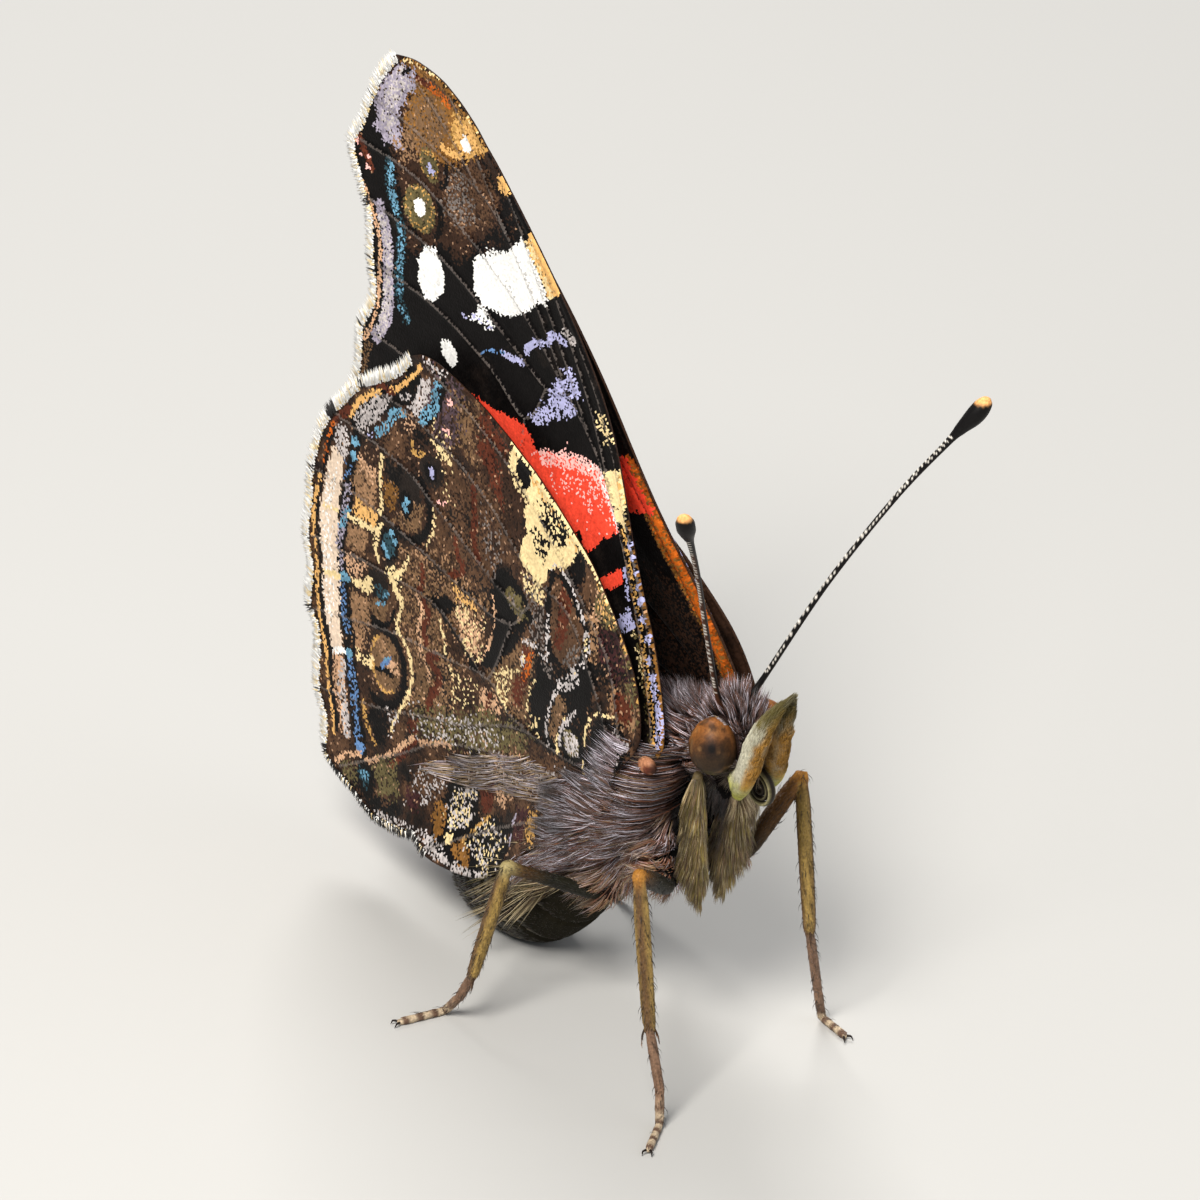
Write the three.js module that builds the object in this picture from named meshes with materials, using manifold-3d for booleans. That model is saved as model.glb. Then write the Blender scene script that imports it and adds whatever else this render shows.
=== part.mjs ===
// Red admiral butterfly, life size, at rest with its wings closed over its back.
// Millimetres. X is the animal's left, Y runs backward from the head, Z is up, the floor is Z = 0.
import * as THREE from 'three';
import { mergeVertices } from 'three/addons/utils/BufferGeometryUtils.js';
import Module from 'manifold-3d';

const wasm = await Module();
wasm.setup();

// Driving sizes
const GAP = 0.3;
const BODY_PITCH = THREE.MathUtils.degToRad(40);
const NECK = { y: 0.55, z: 13.75 };
const MEMBRANE = 0.5;
const VEIN_LIFT = 0.11;
const VEIN_LIFT_INSIDE = 0.03;
const VEIN_HALF_WIDTH = 0.27;
const FOREWING_ROOT = { y: 2.1, z: 13.5 };
const FOREWING_SLOPE = THREE.MathUtils.degToRad(51.45);
const HINDWING_ROOT = { y: 3.9, z: 12.0 };
const WING_SPACING = 0.95;
const LEFT_SWING = THREE.MathUtils.degToRad(3.9);
const EYE_SIZE = { across: 1.0, deep: 1.02, tall: 1.2 };
const EYE_CENTRE = { x: 1.25, y: -0.2, z: 14.4 };
const FLOOR = 0;

const COLOURS = {
  fur: 0x6b5a55,
  dark: 0x24201d,
  eye: 0x9a6a3e,
  palp: 0xb8a888,
  leg: 0x9c8358,
  brush: 0xa39478,
  forewing: 0x2c2624,
  hindwing: 0x5b4638,
  abdomen: 0x35342b,
};

const v2 = (x, y) => new THREE.Vector2(x, y);
const v3 = (x, y, z) => new THREE.Vector3(x, y, z);
const lerp = THREE.MathUtils.lerp;
const smoothMax = (a, b, blend) => 0.5 * (a + b + Math.hypot(a - b, blend));

// The same numbers on every run
let seed = 7;
function random() {
  seed = (seed * 16807) % 2147483647;
  return seed / 2147483647;
}

// Closed surfaces from rings of points

function orient(positions, index) {
  let volume = 0;
  const p = (i) => positions[i];
  for (let i = 0; i < index.length; i += 3) {
    const [a, b, c] = [p(index[i]), p(index[i + 1]), p(index[i + 2])];
    volume += a.dot(b.clone().cross(c));
  }
  if (volume < 0) {
    for (let i = 0; i < index.length; i += 3) {
      [index[i + 1], index[i + 2]] = [index[i + 2], index[i + 1]];
    }
  }
  const geometry = new THREE.BufferGeometry();
  geometry.setAttribute('position', new THREE.Float32BufferAttribute(positions.flatMap((q) => [q.x, q.y, q.z]), 3));
  geometry.setIndex(index);
  return geometry;
}

// Rings of equal count are joined in order, and each end is closed to its middle point.
function shell(rings) {
  const sides = rings[0].length;
  const positions = rings.flat();
  const index = [];
  for (let r = 0; r + 1 < rings.length; r++) {
    for (let k = 0; k < sides; k++) {
      const a = r * sides + k;
      const b = r * sides + (k + 1) % sides;
      index.push(a, b, a + sides, b, b + sides, a + sides);
    }
  }
  for (const [r, turn] of [[0, 1], [rings.length - 1, 0]]) {
    const middle = positions.length;
    const centre = v3(0, 0, 0);
    rings[r].forEach((q) => centre.addScaledVector(q, 1 / sides));
    positions.push(centre);
    for (let k = 0; k < sides; k++) {
      const a = r * sides + k;
      const b = r * sides + (k + 1) % sides;
      index.push(middle, turn ? b : a, turn ? a : b);
    }
  }
  return orient(positions, index);
}

// A ring round a centre: half its width across, its reach up and its reach down.
function oval(centre, across, above, half, up, down, sides, powerUp = 2, powerDown = 2) {
  const ring = [];
  for (let k = 0; k < sides; k++) {
    const turn = (2 * Math.PI * k) / sides;
    const c = Math.cos(turn);
    const s = Math.sin(turn);
    const power = 2 / (c > 0 ? powerUp : powerDown);
    const x = half * Math.sign(s) * Math.abs(s) ** power;
    const y = (c > 0 ? up : down) * Math.sign(c) * Math.abs(c) ** power;
    ring.push(centre.clone().addScaledVector(across, x).addScaledVector(above, y));
  }
  return ring;
}

// A limb of round or flattened section along a route of points, with flat ends.
function limb(route, { sides = 8, hint = v3(1, 0, 0), first, last, floor } = {}) {
  const rings = route.map(([x, y, z, half, deep = half], i) => {
    const here = v3(x, y, z);
    const before = route[Math.max(i - 1, 0)];
    const after = route[Math.min(i + 1, route.length - 1)];
    let along = v3(after[0] - before[0], after[1] - before[1], after[2] - before[2]).normalize();
    if (i === 0 && first) along = first.clone().normalize();
    if (i === route.length - 1 && last) along = last.clone().normalize();
    const across = hint.clone().addScaledVector(along, -hint.dot(along)).normalize();
    const above = along.clone().cross(across);
    const ring = oval(here, across, above, half, deep, deep, sides);
    if (floor !== undefined) ring.forEach((q) => { q.z = Math.max(q.z, floor); });
    return ring;
  });
  return shell(rings);
}

function ellipsoid(centre, size, columns = 16, rows = 10) {
  const geometry = new THREE.SphereGeometry(1, columns, rows);
  geometry.rotateX(Math.PI / 2);
  geometry.scale(size.x, size.y, size.z);
  geometry.translate(centre.x, centre.y, centre.z);
  return geometry;
}

function block(low, high) {
  const geometry = new THREE.BoxGeometry(high.x - low.x, high.y - low.y, high.z - low.z);
  geometry.translate((low.x + high.x) / 2, (low.y + high.y) / 2, (low.z + high.z) / 2);
  return geometry;
}

// Joining and cutting

function solid(geometry) {
  const bare = geometry.clone();
  bare.deleteAttribute('normal');
  bare.deleteAttribute('uv');
  const merged = mergeVertices(bare, 1e-5);
  return new wasm.Manifold(new wasm.Mesh({
    numProp: 3,
    vertProperties: new Float32Array(merged.attributes.position.array),
    triVerts: new Uint32Array(merged.index.array),
  }));
}

function surface(body) {
  const pieces = body.decompose();
  pieces.sort((a, b) => b.volume() - a.volume());
  const mesh = pieces[0].getMesh();
  const geometry = new THREE.BufferGeometry();
  geometry.setAttribute('position', new THREE.Float32BufferAttribute(mesh.vertProperties, 3));
  geometry.setIndex([...mesh.triVerts]);
  return geometry;
}

const fuse = (geometries) => geometries.map(solid).reduce((a, b) => a.add(b));

// Locks of the coat: share of the length along the lie, height above the skin, half width, half thickness
const LOCK = [
  [-0.12, -0.3, 0.4, 0.26],
  [0.22, 0.18, 0.46, 0.27],
  [0.62, 0.4, 0.34, 0.2],
  [1, 0.42, 0.05, 0.05],
];

// One flat, tapered lock. Its root is sunk in the skin, and it bends over to follow the lie.
function lock(root, out, lie, length, width) {
  const across = lie.clone().cross(out).normalize();
  const route = LOCK.map(([along, up, half, deep]) => {
    const p = root.clone().addScaledVector(lie, along * length).addScaledVector(out, up);
    return [p.x, p.y, p.z, half * width, deep * width];
  });
  return limb(route, { sides: 4, hint: across });
}

// The first of some ever closer locks that keeps the gap to all the neighbours, or nothing
function clearLock(root, out, lie, length, width, neighbours) {
  for (const [shorter, nearer] of [[1, 0], [0.85, 0.25], [0.7, 0.4]]) {
    const low = out.clone().multiplyScalar(1 - nearer);
    const body = solid(lock(root, low, lie, length * shorter, width));
    if (neighbours.every((other) => body.minGap(other, 1) > GAP)) return body;
  }
  return null;
}

// Body frame: distance behind the neck along the body, and height square to it

function bodyPoint(x, behind, height) {
  return v3(
    x,
    NECK.y + behind * Math.cos(BODY_PITCH) + height * Math.sin(BODY_PITCH),
    NECK.z - behind * Math.sin(BODY_PITCH) + height * Math.cos(BODY_PITCH),
  );
}

const BODY_BACK = bodyPoint(0, 1, 0).sub(bodyPoint(0, 0, 0));
const BODY_UP = bodyPoint(0, 0, 1).sub(bodyPoint(0, 0, 0));
const ACROSS = v3(1, 0, 0);

// Thorax sections: behind the neck, half width, reach up, reach down
const THORAX = [
  [0.45, 0.95, 1.4, 0.85],
  [1.1, 1.6, 2.4, 1.0],
  [2.0, 2.15, 2.85, 1.35],
  [3.5, 2.4, 3.1, 2.0],
  [5.2, 2.4, 2.95, 2.9],
  [6.8, 2.15, 2.4, 3.2],
  [8.2, 1.7, 1.8, 2.6],
  [9.2, 1.15, 1.25, 1.7],
];
const THORAX_POWER_UP = 1.6;
const THORAX_POWER_DOWN = 2.2;
const WAIST_DROP = 0.03;
const thoraxSag = (behind) => -WAIST_DROP * Math.max(behind - 5, 0) ** 2;

function thoraxSection(behind) {
  let i = THORAX.findIndex((row) => row[0] > behind);
  if (i < 1) i = i === 0 ? 1 : THORAX.length - 1;
  const [a, b] = [THORAX[i - 1], THORAX[i]];
  const t = THREE.MathUtils.clamp((behind - a[0]) / (b[0] - a[0]), 0, 1);
  return [lerp(a[1], b[1], t), lerp(a[2], b[2], t), lerp(a[3], b[3], t)];
}

// Half the thorax's width where a line along X meets it, and below zero where the line misses it
function thoraxHalfWidth(y, z) {
  const dy = y - NECK.y;
  const dz = z - NECK.z;
  const behind = dy * Math.cos(BODY_PITCH) - dz * Math.sin(BODY_PITCH);
  const height = dy * Math.sin(BODY_PITCH) + dz * Math.cos(BODY_PITCH) - thoraxSag(behind);
  const [half, up, down] = thoraxSection(behind);
  const past = Math.max(THORAX[0][0] - behind, behind - THORAX.at(-1)[0], 0);
  const reach = Math.abs(height) / (height > 0 ? up : down) + past;
  const power = height > 0 ? THORAX_POWER_UP : THORAX_POWER_DOWN;
  return reach < 1 ? half * (1 - reach ** power) ** (1 / power) : -3 * (reach - 1);
}

function thoraxCore() {
  return shell(THORAX.map(([behind, half, up, down]) => oval(
    bodyPoint(0, behind, thoraxSag(behind)), ACROSS, BODY_UP, half, up, down, 20,
    THORAX_POWER_UP, THORAX_POWER_DOWN,
  )));
}

// A point of the thorax's skin, turned from its top, and the way out of the skin there
function thoraxSkin(behind, turn) {
  const at = (b, t) => {
    const [half, up, down] = thoraxSection(b);
    const [c, s] = [Math.cos(t), Math.sin(t)];
    const power = 2 / (c > 0 ? THORAX_POWER_UP : THORAX_POWER_DOWN);
    const across = half * Math.sign(s) * Math.abs(s) ** power;
    return bodyPoint(across, b, thoraxSag(b) + (c > 0 ? up : down) * Math.sign(c) * Math.abs(c) ** power);
  };
  const point = at(behind, turn);
  const back = at(behind + 0.05, turn).sub(at(behind - 0.05, turn));
  const round = at(behind, turn + 0.05).sub(at(behind, turn - 0.05));
  const out = back.cross(round).normalize();
  if (out.dot(point.clone().sub(bodyPoint(0, behind, 0))) < 0) out.negate();
  return { point, out };
}

// Rows of fur locks round the thorax: behind the neck, and turns from its top in degrees
const FUR_ROWS = [
  [1.0, [30, 62, 95, 128]],
  [2.0, [80, 112, 146]],
  [3.1, [96, 128, 162]],
  [4.2, [84, 112, 145, 176]],
  [5.3, [98, 128, 160]],
  [6.4, [86, 112, 142, 174]],
  [7.4, [98, 126, 156]],
];
const FUR_LOCK = { length: 2.1, width: 1.0, fall: 0.45 };

function thoraxFur(neighbours) {
  const locks = [];
  for (const [behind, turns] of FUR_ROWS) {
    for (const turn of turns.flatMap((t) => [t, -t])) {
      const { point, out } = thoraxSkin(behind, THREE.MathUtils.degToRad(turn + 6 * (random() - 0.5)));
      const lie = BODY_BACK.clone().add(v3(0, 0, -FUR_LOCK.fall));
      lie.addScaledVector(out, -lie.dot(out)).normalize();
      const length = FUR_LOCK.length * lerp(0.85, 1.15, random());
      const body = clearLock(point, out, lie, length, FUR_LOCK.width, neighbours);
      if (body) locks.push(body);
    }
  }
  return locks;
}

// Abdomen sections: y, z, half width, half height
const ABDOMEN = [
  [7.43, 7.18, 1.3, 1.35],
  [8.5, 5.9, 1.85, 1.95],
  [9.7, 4.75, 2.1, 2.35],
  [11.0, 3.45, 2.2, 2.55],
  [12.4, 2.55, 2.2, 2.7],
  [13.8, 2.1, 2.05, 2.45],
  [15.1, 1.85, 1.75, 2.1],
  [16.2, 1.7, 1.25, 1.55],
  [17.0, 1.6, 0.6, 0.8],
];
const SEGMENT_STEP = 0.12;
const SEGMENTS = 8;

function abdomen() {
  const middle = new THREE.CatmullRomCurve3(ABDOMEN.map(([y, z]) => v3(0, y, z)));
  const girth = new THREE.CatmullRomCurve3(ABDOMEN.map(([, , half, tall]) => v3(half, tall, 0)));
  const rings = [];
  for (let i = 0; i <= SEGMENTS; i++) {
    for (const [shift, inset] of [[0, SEGMENT_STEP], [0.14, 0], [0.6, 0]]) {
      const t = Math.min((i + shift) / (SEGMENTS + 0.6), 1);
      const along = t > 0 ? middle.getTangent(t) : BODY_BACK;
      const above = ACROSS.clone().cross(along).negate();
      const size = girth.getPoint(t);
      const ring = oval(middle.getPoint(t), ACROSS, above, size.x - inset, size.y - inset, size.y - inset, 16);
      ring.forEach((q) => { q.z = Math.max(q.z, FLOOR); });
      rings.push(ring);
    }
  }
  return shell(rings);
}

// Wings: flat sheets in a plane of their own, bent by their distance from the middle plane

function forewingOpen(y, z) {
  const dy = y - FOREWING_ROOT.y;
  const dz = z - FOREWING_ROOT.z;
  const reach = Math.hypot(dy, dz);
  const behind = dy * Math.sin(FOREWING_SLOPE) - dz * Math.cos(FOREWING_SLOPE);
  return smoothMax(2.2 - 0.145 * reach, 0.42, 0.35) + 0.7 * (1 - Math.exp(-Math.max(behind, 0) / 8));
}

const clearOfThorax = (y, z) => thoraxHalfWidth(y, z) + MEMBRANE / 2 + GAP + 0.14;
const forewingSpread = (y, z) => smoothMax(forewingOpen(y, z), clearOfThorax(y, z), 0.3);

function abdomenDistance(y, z) {
  let best = Infinity;
  for (let i = 0; i + 1 < ABDOMEN.length; i++) {
    const a = v2(ABDOMEN[i][0], ABDOMEN[i][1]);
    const along = v2(ABDOMEN[i + 1][0], ABDOMEN[i + 1][1]).sub(a);
    const from = v2(y, z).sub(a);
    const t = THREE.MathUtils.clamp(from.dot(along) / along.lengthSq(), 0, 1);
    best = Math.min(best, from.addScaledVector(along, -t).length());
  }
  return best;
}

// How far a place is covered by the forewing: 1 over its sheet, 0 past its hind edge
function forewingCover(y, z) {
  const dy = y - FOREWING_ROOT.y;
  const dz = z - FOREWING_ROOT.z;
  const along = dy * Math.cos(FOREWING_SLOPE) + dz * Math.sin(FOREWING_SLOPE);
  const behind = dy * Math.sin(FOREWING_SLOPE) - dz * Math.cos(FOREWING_SLOPE);
  return 1 - THREE.MathUtils.smoothstep(behind - 0.69 * along - 1.3, 0.4, 1.8);
}

function hindwingSpread(y, z) {
  const bulge = 2.95 * Math.exp(-((abdomenDistance(y, z) / 4.6) ** 2));
  const layer = clearOfThorax(y, z) + WING_SPACING * forewingCover(y, z);
  return smoothMax(smoothMax(forewingOpen(y, z) + WING_SPACING, layer, 0.3), bulge, 0.5);
}

const FOREWING = {
  place: (u, v) => v2(
    FOREWING_ROOT.y + u * Math.cos(FOREWING_SLOPE) + v * Math.sin(FOREWING_SLOPE),
    FOREWING_ROOT.z + u * Math.sin(FOREWING_SLOPE) - v * Math.cos(FOREWING_SLOPE),
  ),
  spread: forewingSpread,
  leftSwing: LEFT_SWING,
  edges: [
    [[-0.4, 0.1], [0.4, -0.85], [3.5, -2.0], [8, -2.9], [12.5, -3.72], [16, -3.92], [20, -3.75],
      [24.9, -3.15], [27.1, -2.45], [28.7, -1.2], [29.5, 0]],
    [[29.5, 0], [29.3, 1.2], [28.8, 2.4], [28.1, 3.7], [27.6, 4.9], [26, 5.4], [24.6, 5.75],
      [23.1, 6.85], [22, 7.45], [21.5, 8.3], [21.1, 9.3], [19.9, 10.4], [19.2, 11.5], [18.6, 13]],
    [[18.6, 13], [17.6, 13.5], [14, 11.3], [9, 7.9], [4.5, 4.8], [1.2, 2.4], [-0.2, 1.2], [-0.4, 0.1]],
  ],
  veins: [
    [[0.6, -0.5], [4, -1.75], [8, -2.45], [12, -3.2], [15.5, -3.7]],
    [[0.4, 0], [4, -1.1], [8, -1.85], [11, -2.1], [14.3, -1.7]],
    [[9.5, -2], [14, -2.9], [18.4, -3.55]],
    [[12.5, -2], [18, -2.75], [22.3, -3.3]],
    [[14.3, -1.7], [18, -2.1], [21, -2.1], [23, -1.6], [25, -0.2], [27, 1.1], [28.4, 2.2]],
    [[21, -2.1], [24, -2.3], [26.8, -2.3]],
    [[23, -1.6], [25.8, -1.2], [28.6, -0.4]],
    [[14.3, -1.7], [18, -1.05], [21, 0], [24.8, 1.8], [27.4, 4.2]],
    [[14.3, -1.7], [14.9, -0.5], [17.1, 0.45], [19.9, 1.6], [22, 2.7], [25.2, 5.2]],
    [[14.9, -0.5], [14.3, 1.5], [16.8, 2.3], [20.1, 4.1], [22.9, 6.6]],
    [[0.3, 0.5], [5, 1.2], [9.8, 2.5], [12.6, 2.9], [14.3, 1.5]],
    [[12.6, 2.9], [16, 4.9], [19, 7.2], [20.9, 9]],
    [[9.8, 2.5], [13, 5.2], [16.5, 8.6], [19, 11]],
    [[0.4, 1.1], [6, 4.4], [12, 8.7], [17.7, 12.7]],
  ],
};

const HINDWING = {
  place: (u, v) => v2(HINDWING_ROOT.y + u, HINDWING_ROOT.z - v),
  spread: hindwingSpread,
  leftSwing: 0,
  edges: [
    [[-1.2, -1], [-1.7, -2.4], [-0.7, -4.9], [2, -7.65], [4, -8.9], [6.7, -10.45], [9.4, -11.8],
      [12, -12.75], [13.4, -12.95], [14.3, -12.6]],
    [[14.3, -12.6], [15.2, -11.7], [17.5, -10.35], [18.6, -9.3], [19.6, -8.2], [20.3, -7], [20.85, -5.1],
      [20.9, -3.9], [21.2, -2.2], [20.9, -0.7], [21.1, 0.9], [20.5, 2.2], [20.6, 4.5], [20.1, 6],
      [20, 7.7], [18, 8.75], [16.8, 9.3], [15.2, 9.05], [13.5, 8.6]],
    [[13.5, 8.6], [12.3, 9.05], [10.3, 8.9], [8.5, 8.35], [7.2, 7.3], [5, 5.4], [3, 4], [0.9, 2.4],
      [-0.6, 0.4], [-1.2, -1]],
  ],
  veins: [
    [[-0.6, -1.4], [0.6, -4.2], [2.2, -5.8], [4.2, -7.3], [6.7, -9.1], [9.7, -10.95], [13.2, -12.5]],
    [[-0.2, -0.8], [1.5, -3.2], [3.5, -5.4], [5.6, -6], [7.1, -6.6], [9, -7.9], [11.8, -9.3],
      [15, -10.2], [17.1, -10.3]],
    [[5.6, -6], [6.5, -4.4], [8.3, -4.7], [9.9, -5.3], [12.8, -6.7], [15, -7.7], [19.2, -8.4]],
    [[6.5, -4.4], [7.3, -3.5], [9.5, -3.4], [13, -4.2], [17.5, -5.2], [20.5, -5.4]],
    [[7.3, -3.5], [8.9, -0.4], [10.2, -1], [12.5, -2.2], [15.6, -2.4], [20.8, -2.25]],
    [[-0.2, 0], [3, 0.7], [7.1, 0.6], [8.9, -0.4], [11.8, -0.1], [15, 0.1], [17.5, 0.5], [20.7, 1.1]],
    [[5.5, 0.7], [7.4, 1.1], [10.8, 2.5], [13.1, 3.1], [16.4, 4], [20.2, 4.6]],
    [[0.6, 1.2], [6, 2.2], [11.8, 3.8], [15, 5.6], [19, 7.8]],
    [[1.6, 2.4], [6, 4.8], [10, 7.2], [12.2, 8.6]],
  ],
};

// Triangles between scattered points, each with no other point inside its circle
function triangulate(points) {
  const far = 1e4;
  const all = [...points, v2(-far, -far), v2(far, -far), v2(0, far)];
  const circle = (a, b, c) => {
    const [p, q, r] = [all[a], all[b].clone().sub(all[a]), all[c].clone().sub(all[a])];
    const d = 2 * q.cross(r);
    const x = (r.y * q.lengthSq() - q.y * r.lengthSq()) / d;
    const y = (q.x * r.lengthSq() - r.x * q.lengthSq()) / d;
    return { corners: [a, b, c], centre: v2(p.x + x, p.y + y), reach: x * x + y * y };
  };
  let open = [circle(points.length, points.length + 1, points.length + 2)];
  points.forEach((point, i) => {
    const rim = new Map();
    open = open.filter((triangle) => {
      if (point.distanceToSquared(triangle.centre) >= triangle.reach) return true;
      triangle.corners.forEach((a, k) => {
        const b = triangle.corners[(k + 1) % 3];
        if (!rim.delete(`${b} ${a}`)) rim.set(`${a} ${b}`, [a, b]);
      });
      return false;
    });
    for (const [a, b] of rim.values()) open.push(circle(a, b, i));
  });
  return open.map((triangle) => triangle.corners).filter((c) => Math.max(...c) < points.length);
}

function inside(point, outline) {
  let odd = false;
  outline.forEach((a, i) => {
    const b = outline[(i + 1) % outline.length];
    const crosses = (a.y > point.y) !== (b.y > point.y);
    if (crosses && point.x < ((b.x - a.x) * (point.y - a.y)) / (b.y - a.y) + a.x) odd = !odd;
  });
  return odd;
}

const EDGE_STEP = 1.1;
const VEIN_STEP = 1.45;
const INNER_STEP = 2.3;
const JITTER = 0.02;

// Points of a wing's sheet: its edge, the crest and the feet of each vein, and a loose net between
function wingNet({ edges, veins }) {
  const net = [];
  const add = (point, lift, room) => {
    if (net.every((other) => other.point.distanceTo(point) > room)) {
      point.x += JITTER * (random() - 0.5);
      point.y += JITTER * (random() - 0.5);
      net.push({ point, lift });
    }
  };
  for (const edge of edges) {
    const curve = new THREE.SplineCurve(edge.map(([u, v]) => v2(u, v)));
    const count = Math.round(curve.getLength() / EDGE_STEP);
    curve.getSpacedPoints(count).forEach((point) => add(point, 0, 0.3));
  }
  const outline = net.map(({ point }) => point);
  const crests = [];
  const feet = [];
  for (const route of veins) {
    const curve = new THREE.SplineCurve(route.map(([u, v]) => v2(u, v)));
    const count = Math.round(curve.getLength() / VEIN_STEP);
    for (let i = 0; i <= count; i++) {
      const t = i / count;
      const point = curve.getPointAt(t);
      const along = curve.getTangentAt(t);
      crests.push({ point, lift: lerp(1, 0.6, t) });
      for (const side of [-1, 1]) {
        feet.push(v2(point.x - side * VEIN_HALF_WIDTH * along.y, point.y + side * VEIN_HALF_WIDTH * along.x));
      }
    }
  }
  crests.filter(({ point }) => inside(point, outline)).forEach(({ point, lift }) => add(point, lift, 0.36));
  feet.filter((foot) => inside(foot, outline))
    .filter((foot) => crests.every(({ point }) => point.distanceTo(foot) > 0.9 * VEIN_HALF_WIDTH))
    .forEach((foot) => add(foot, 0, 0.2));
  const box = new THREE.Box2().setFromPoints(outline);
  for (let row = 0, v = box.min.y; v < box.max.y; v += INNER_STEP * 0.87, row++) {
    for (let u = box.min.x + (row % 2) * INNER_STEP / 2; u < box.max.x; u += INNER_STEP) {
      if (inside(v2(u, v), outline)) add(v2(u, v), 0, 0.95);
    }
  }
  const corners = triangulate(net.map(({ point }) => point)).filter(([a, b, c]) => {
    const middle = net[a].point.clone().add(net[b].point).add(net[c].point).divideScalar(3);
    return inside(middle, outline);
  });
  return { net, corners };
}

// One wing as a closed sheet, with its veins raised in both faces. side is 1 on the left, -1 on the right.
function wing(kind, { net, corners }, side) {
  const outer = [];
  const inner = [];
  const swing = side > 0 ? kind.leftSwing : 0;
  for (const { point, lift } of net) {
    const turned = point.clone().rotateAround(v2(0, 0), swing);
    const { x: y, y: z } = kind.place(turned.x, turned.y);
    const step = 0.1;
    const slope = Math.hypot(
      (kind.spread(y + step, z) - kind.spread(y - step, z)) / (2 * step),
      (kind.spread(y, z + step) - kind.spread(y, z - step)) / (2 * step),
    );
    const lean = Math.hypot(1, slope);
    const middle = kind.spread(y, z);
    outer.push(v3(side * (middle + lean * (MEMBRANE / 2 + lift * VEIN_LIFT)), y, z));
    inner.push(v3(side * (middle - lean * (MEMBRANE / 2 + lift * VEIN_LIFT_INSIDE)), y, z));
  }
  const count = net.length;
  const index = [];
  const rim = new Map();
  for (const [a, b, c] of corners) {
    index.push(a, b, c, a + count, c + count, b + count);
    for (const [p, q] of [[a, b], [b, c], [c, a]]) {
      if (!rim.delete(`${q} ${p}`)) rim.set(`${p} ${q}`, [p, q]);
    }
  }
  for (const [p, q] of rim.values()) index.push(q, p, p + count, q, p + count, q + count);
  return orient([...outer, ...inner], index);
}

// Head, with a socket for each eye

function eyeForm(side, grow, inner) {
  const centre = v3(side * EYE_CENTRE.x, EYE_CENTRE.y, EYE_CENTRE.z);
  const size = v3(EYE_SIZE.across + grow, EYE_SIZE.deep + grow, EYE_SIZE.tall + grow);
  const half = block(v3(inner, -9, 5), v3(9, 9, 25));
  if (side < 0) half.scale(-1, 1, 1);
  if (side < 0) half.index.array.reverse();
  return solid(ellipsoid(centre, size, grow ? 16 : 20, grow ? 10 : 13)).intersect(solid(half));
}

const EYE_INNER_FACE = 0.8;
const ANTENNA_ROOT = v3(0.6, -0.1, 15.85);
const ANTENNA_TIP = { left: v3(7.6, -5.9, 28.8), right: v3(-7.37, -5.52, 28.27) };

// Coiled tongue between the palps, its turns as rings about an axis along X
const TONGUE = { y: -1.6, z: 12.55, turn: 0.28, turns: 3, hub: 0.12, half: 0.22 };

function tongue(grow = 0) {
  const rim = TONGUE.hub + TONGUE.turn * TONGUE.turns + grow;
  const half = TONGUE.half + grow;
  const profile = [v2(0, -half * 0.8)];
  for (let i = 0; i < TONGUE.turns; i++) {
    profile.push(v2(TONGUE.hub + TONGUE.turn * (i + 0.1), -half * (grow ? 1 : 0.7)));
    profile.push(v2(TONGUE.hub + TONGUE.turn * (i + 0.5), -half));
  }
  profile.push(v2(rim, -half * 0.5));
  const mirrored = profile.map(({ x, y }) => v2(x, -y)).reverse();
  const geometry = new THREE.LatheGeometry([...profile, ...mirrored], 18);
  geometry.rotateZ(Math.PI / 2);
  geometry.translate(0, TONGUE.y, TONGUE.z);
  return solid(geometry);
}

// Takes away all of a body on the side of a plane that its normal points to
function cutBeyond(body, point, normal) {
  const slab = block(v3(-20, -20, 0), v3(20, 20, 40));
  const turn = new THREE.Quaternion().setFromUnitVectors(v3(0, 0, 1), normal.clone().normalize());
  slab.applyQuaternion(turn);
  slab.translate(point.x, point.y, point.z);
  return body.subtract(solid(slab));
}

function antennaSocket(sideName, side) {
  const root = v3(side * ANTENNA_ROOT.x, ANTENNA_ROOT.y, ANTENNA_ROOT.z);
  const out = ANTENNA_TIP[sideName].clone().sub(root).normalize();
  const sunk = root.clone().addScaledVector(out, -0.8);
  return limb([[sunk.x * 0.8, sunk.y, sunk.z, 0.4], [root.x, root.y, root.z, 0.36]], { last: out });
}

function head() {
  const skull = ellipsoid(v3(0, -0.15, 14.4), v3(1.35, 1.4, 1.6), 18, 10);
  const crown = ellipsoid(v3(0, 0.1, 15.3), v3(0.95, 0.8, 0.75), 12, 8);
  const muzzle = ellipsoid(v3(0, -0.8, 13.4), v3(0.85, 0.75, 0.6), 12, 8);
  const cheeks = ellipsoid(v3(0, 0.35, 13.95), v3(1.65, 0.75, 1.2), 16, 8);
  const sockets = [antennaSocket('left', 1), antennaSocket('right', -1)];
  let body = fuse([skull, crown, muzzle, cheeks, ...sockets]);
  for (const side of [-1, 1]) body = body.subtract(eyeForm(side, GAP, EYE_INNER_FACE - GAP));
  body = body.subtract(tongue(GAP));
  return surface(cutBeyond(body, bodyPoint(0, THORAX[0][0] - GAP, 0), BODY_BACK));
}

// Antennae: slim shafts that lean forward and apart, each with a club at its end

const ANTENNA = [
  [0, 0, 0, 0.3],
  [0.1, 0.05, 0.08, 0.25],
  [0.35, 0.3, 0.38, 0.25],
  [0.62, 0.6, 0.67, 0.25],
  [0.82, 0.82, 0.85, 0.27],
  [0.88, 0.88, 0.9, 0.36],
  [0.94, 0.945, 0.95, 0.42],
  [0.98, 0.985, 0.985, 0.36],
  [1, 1, 1, 0.16],
];

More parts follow.
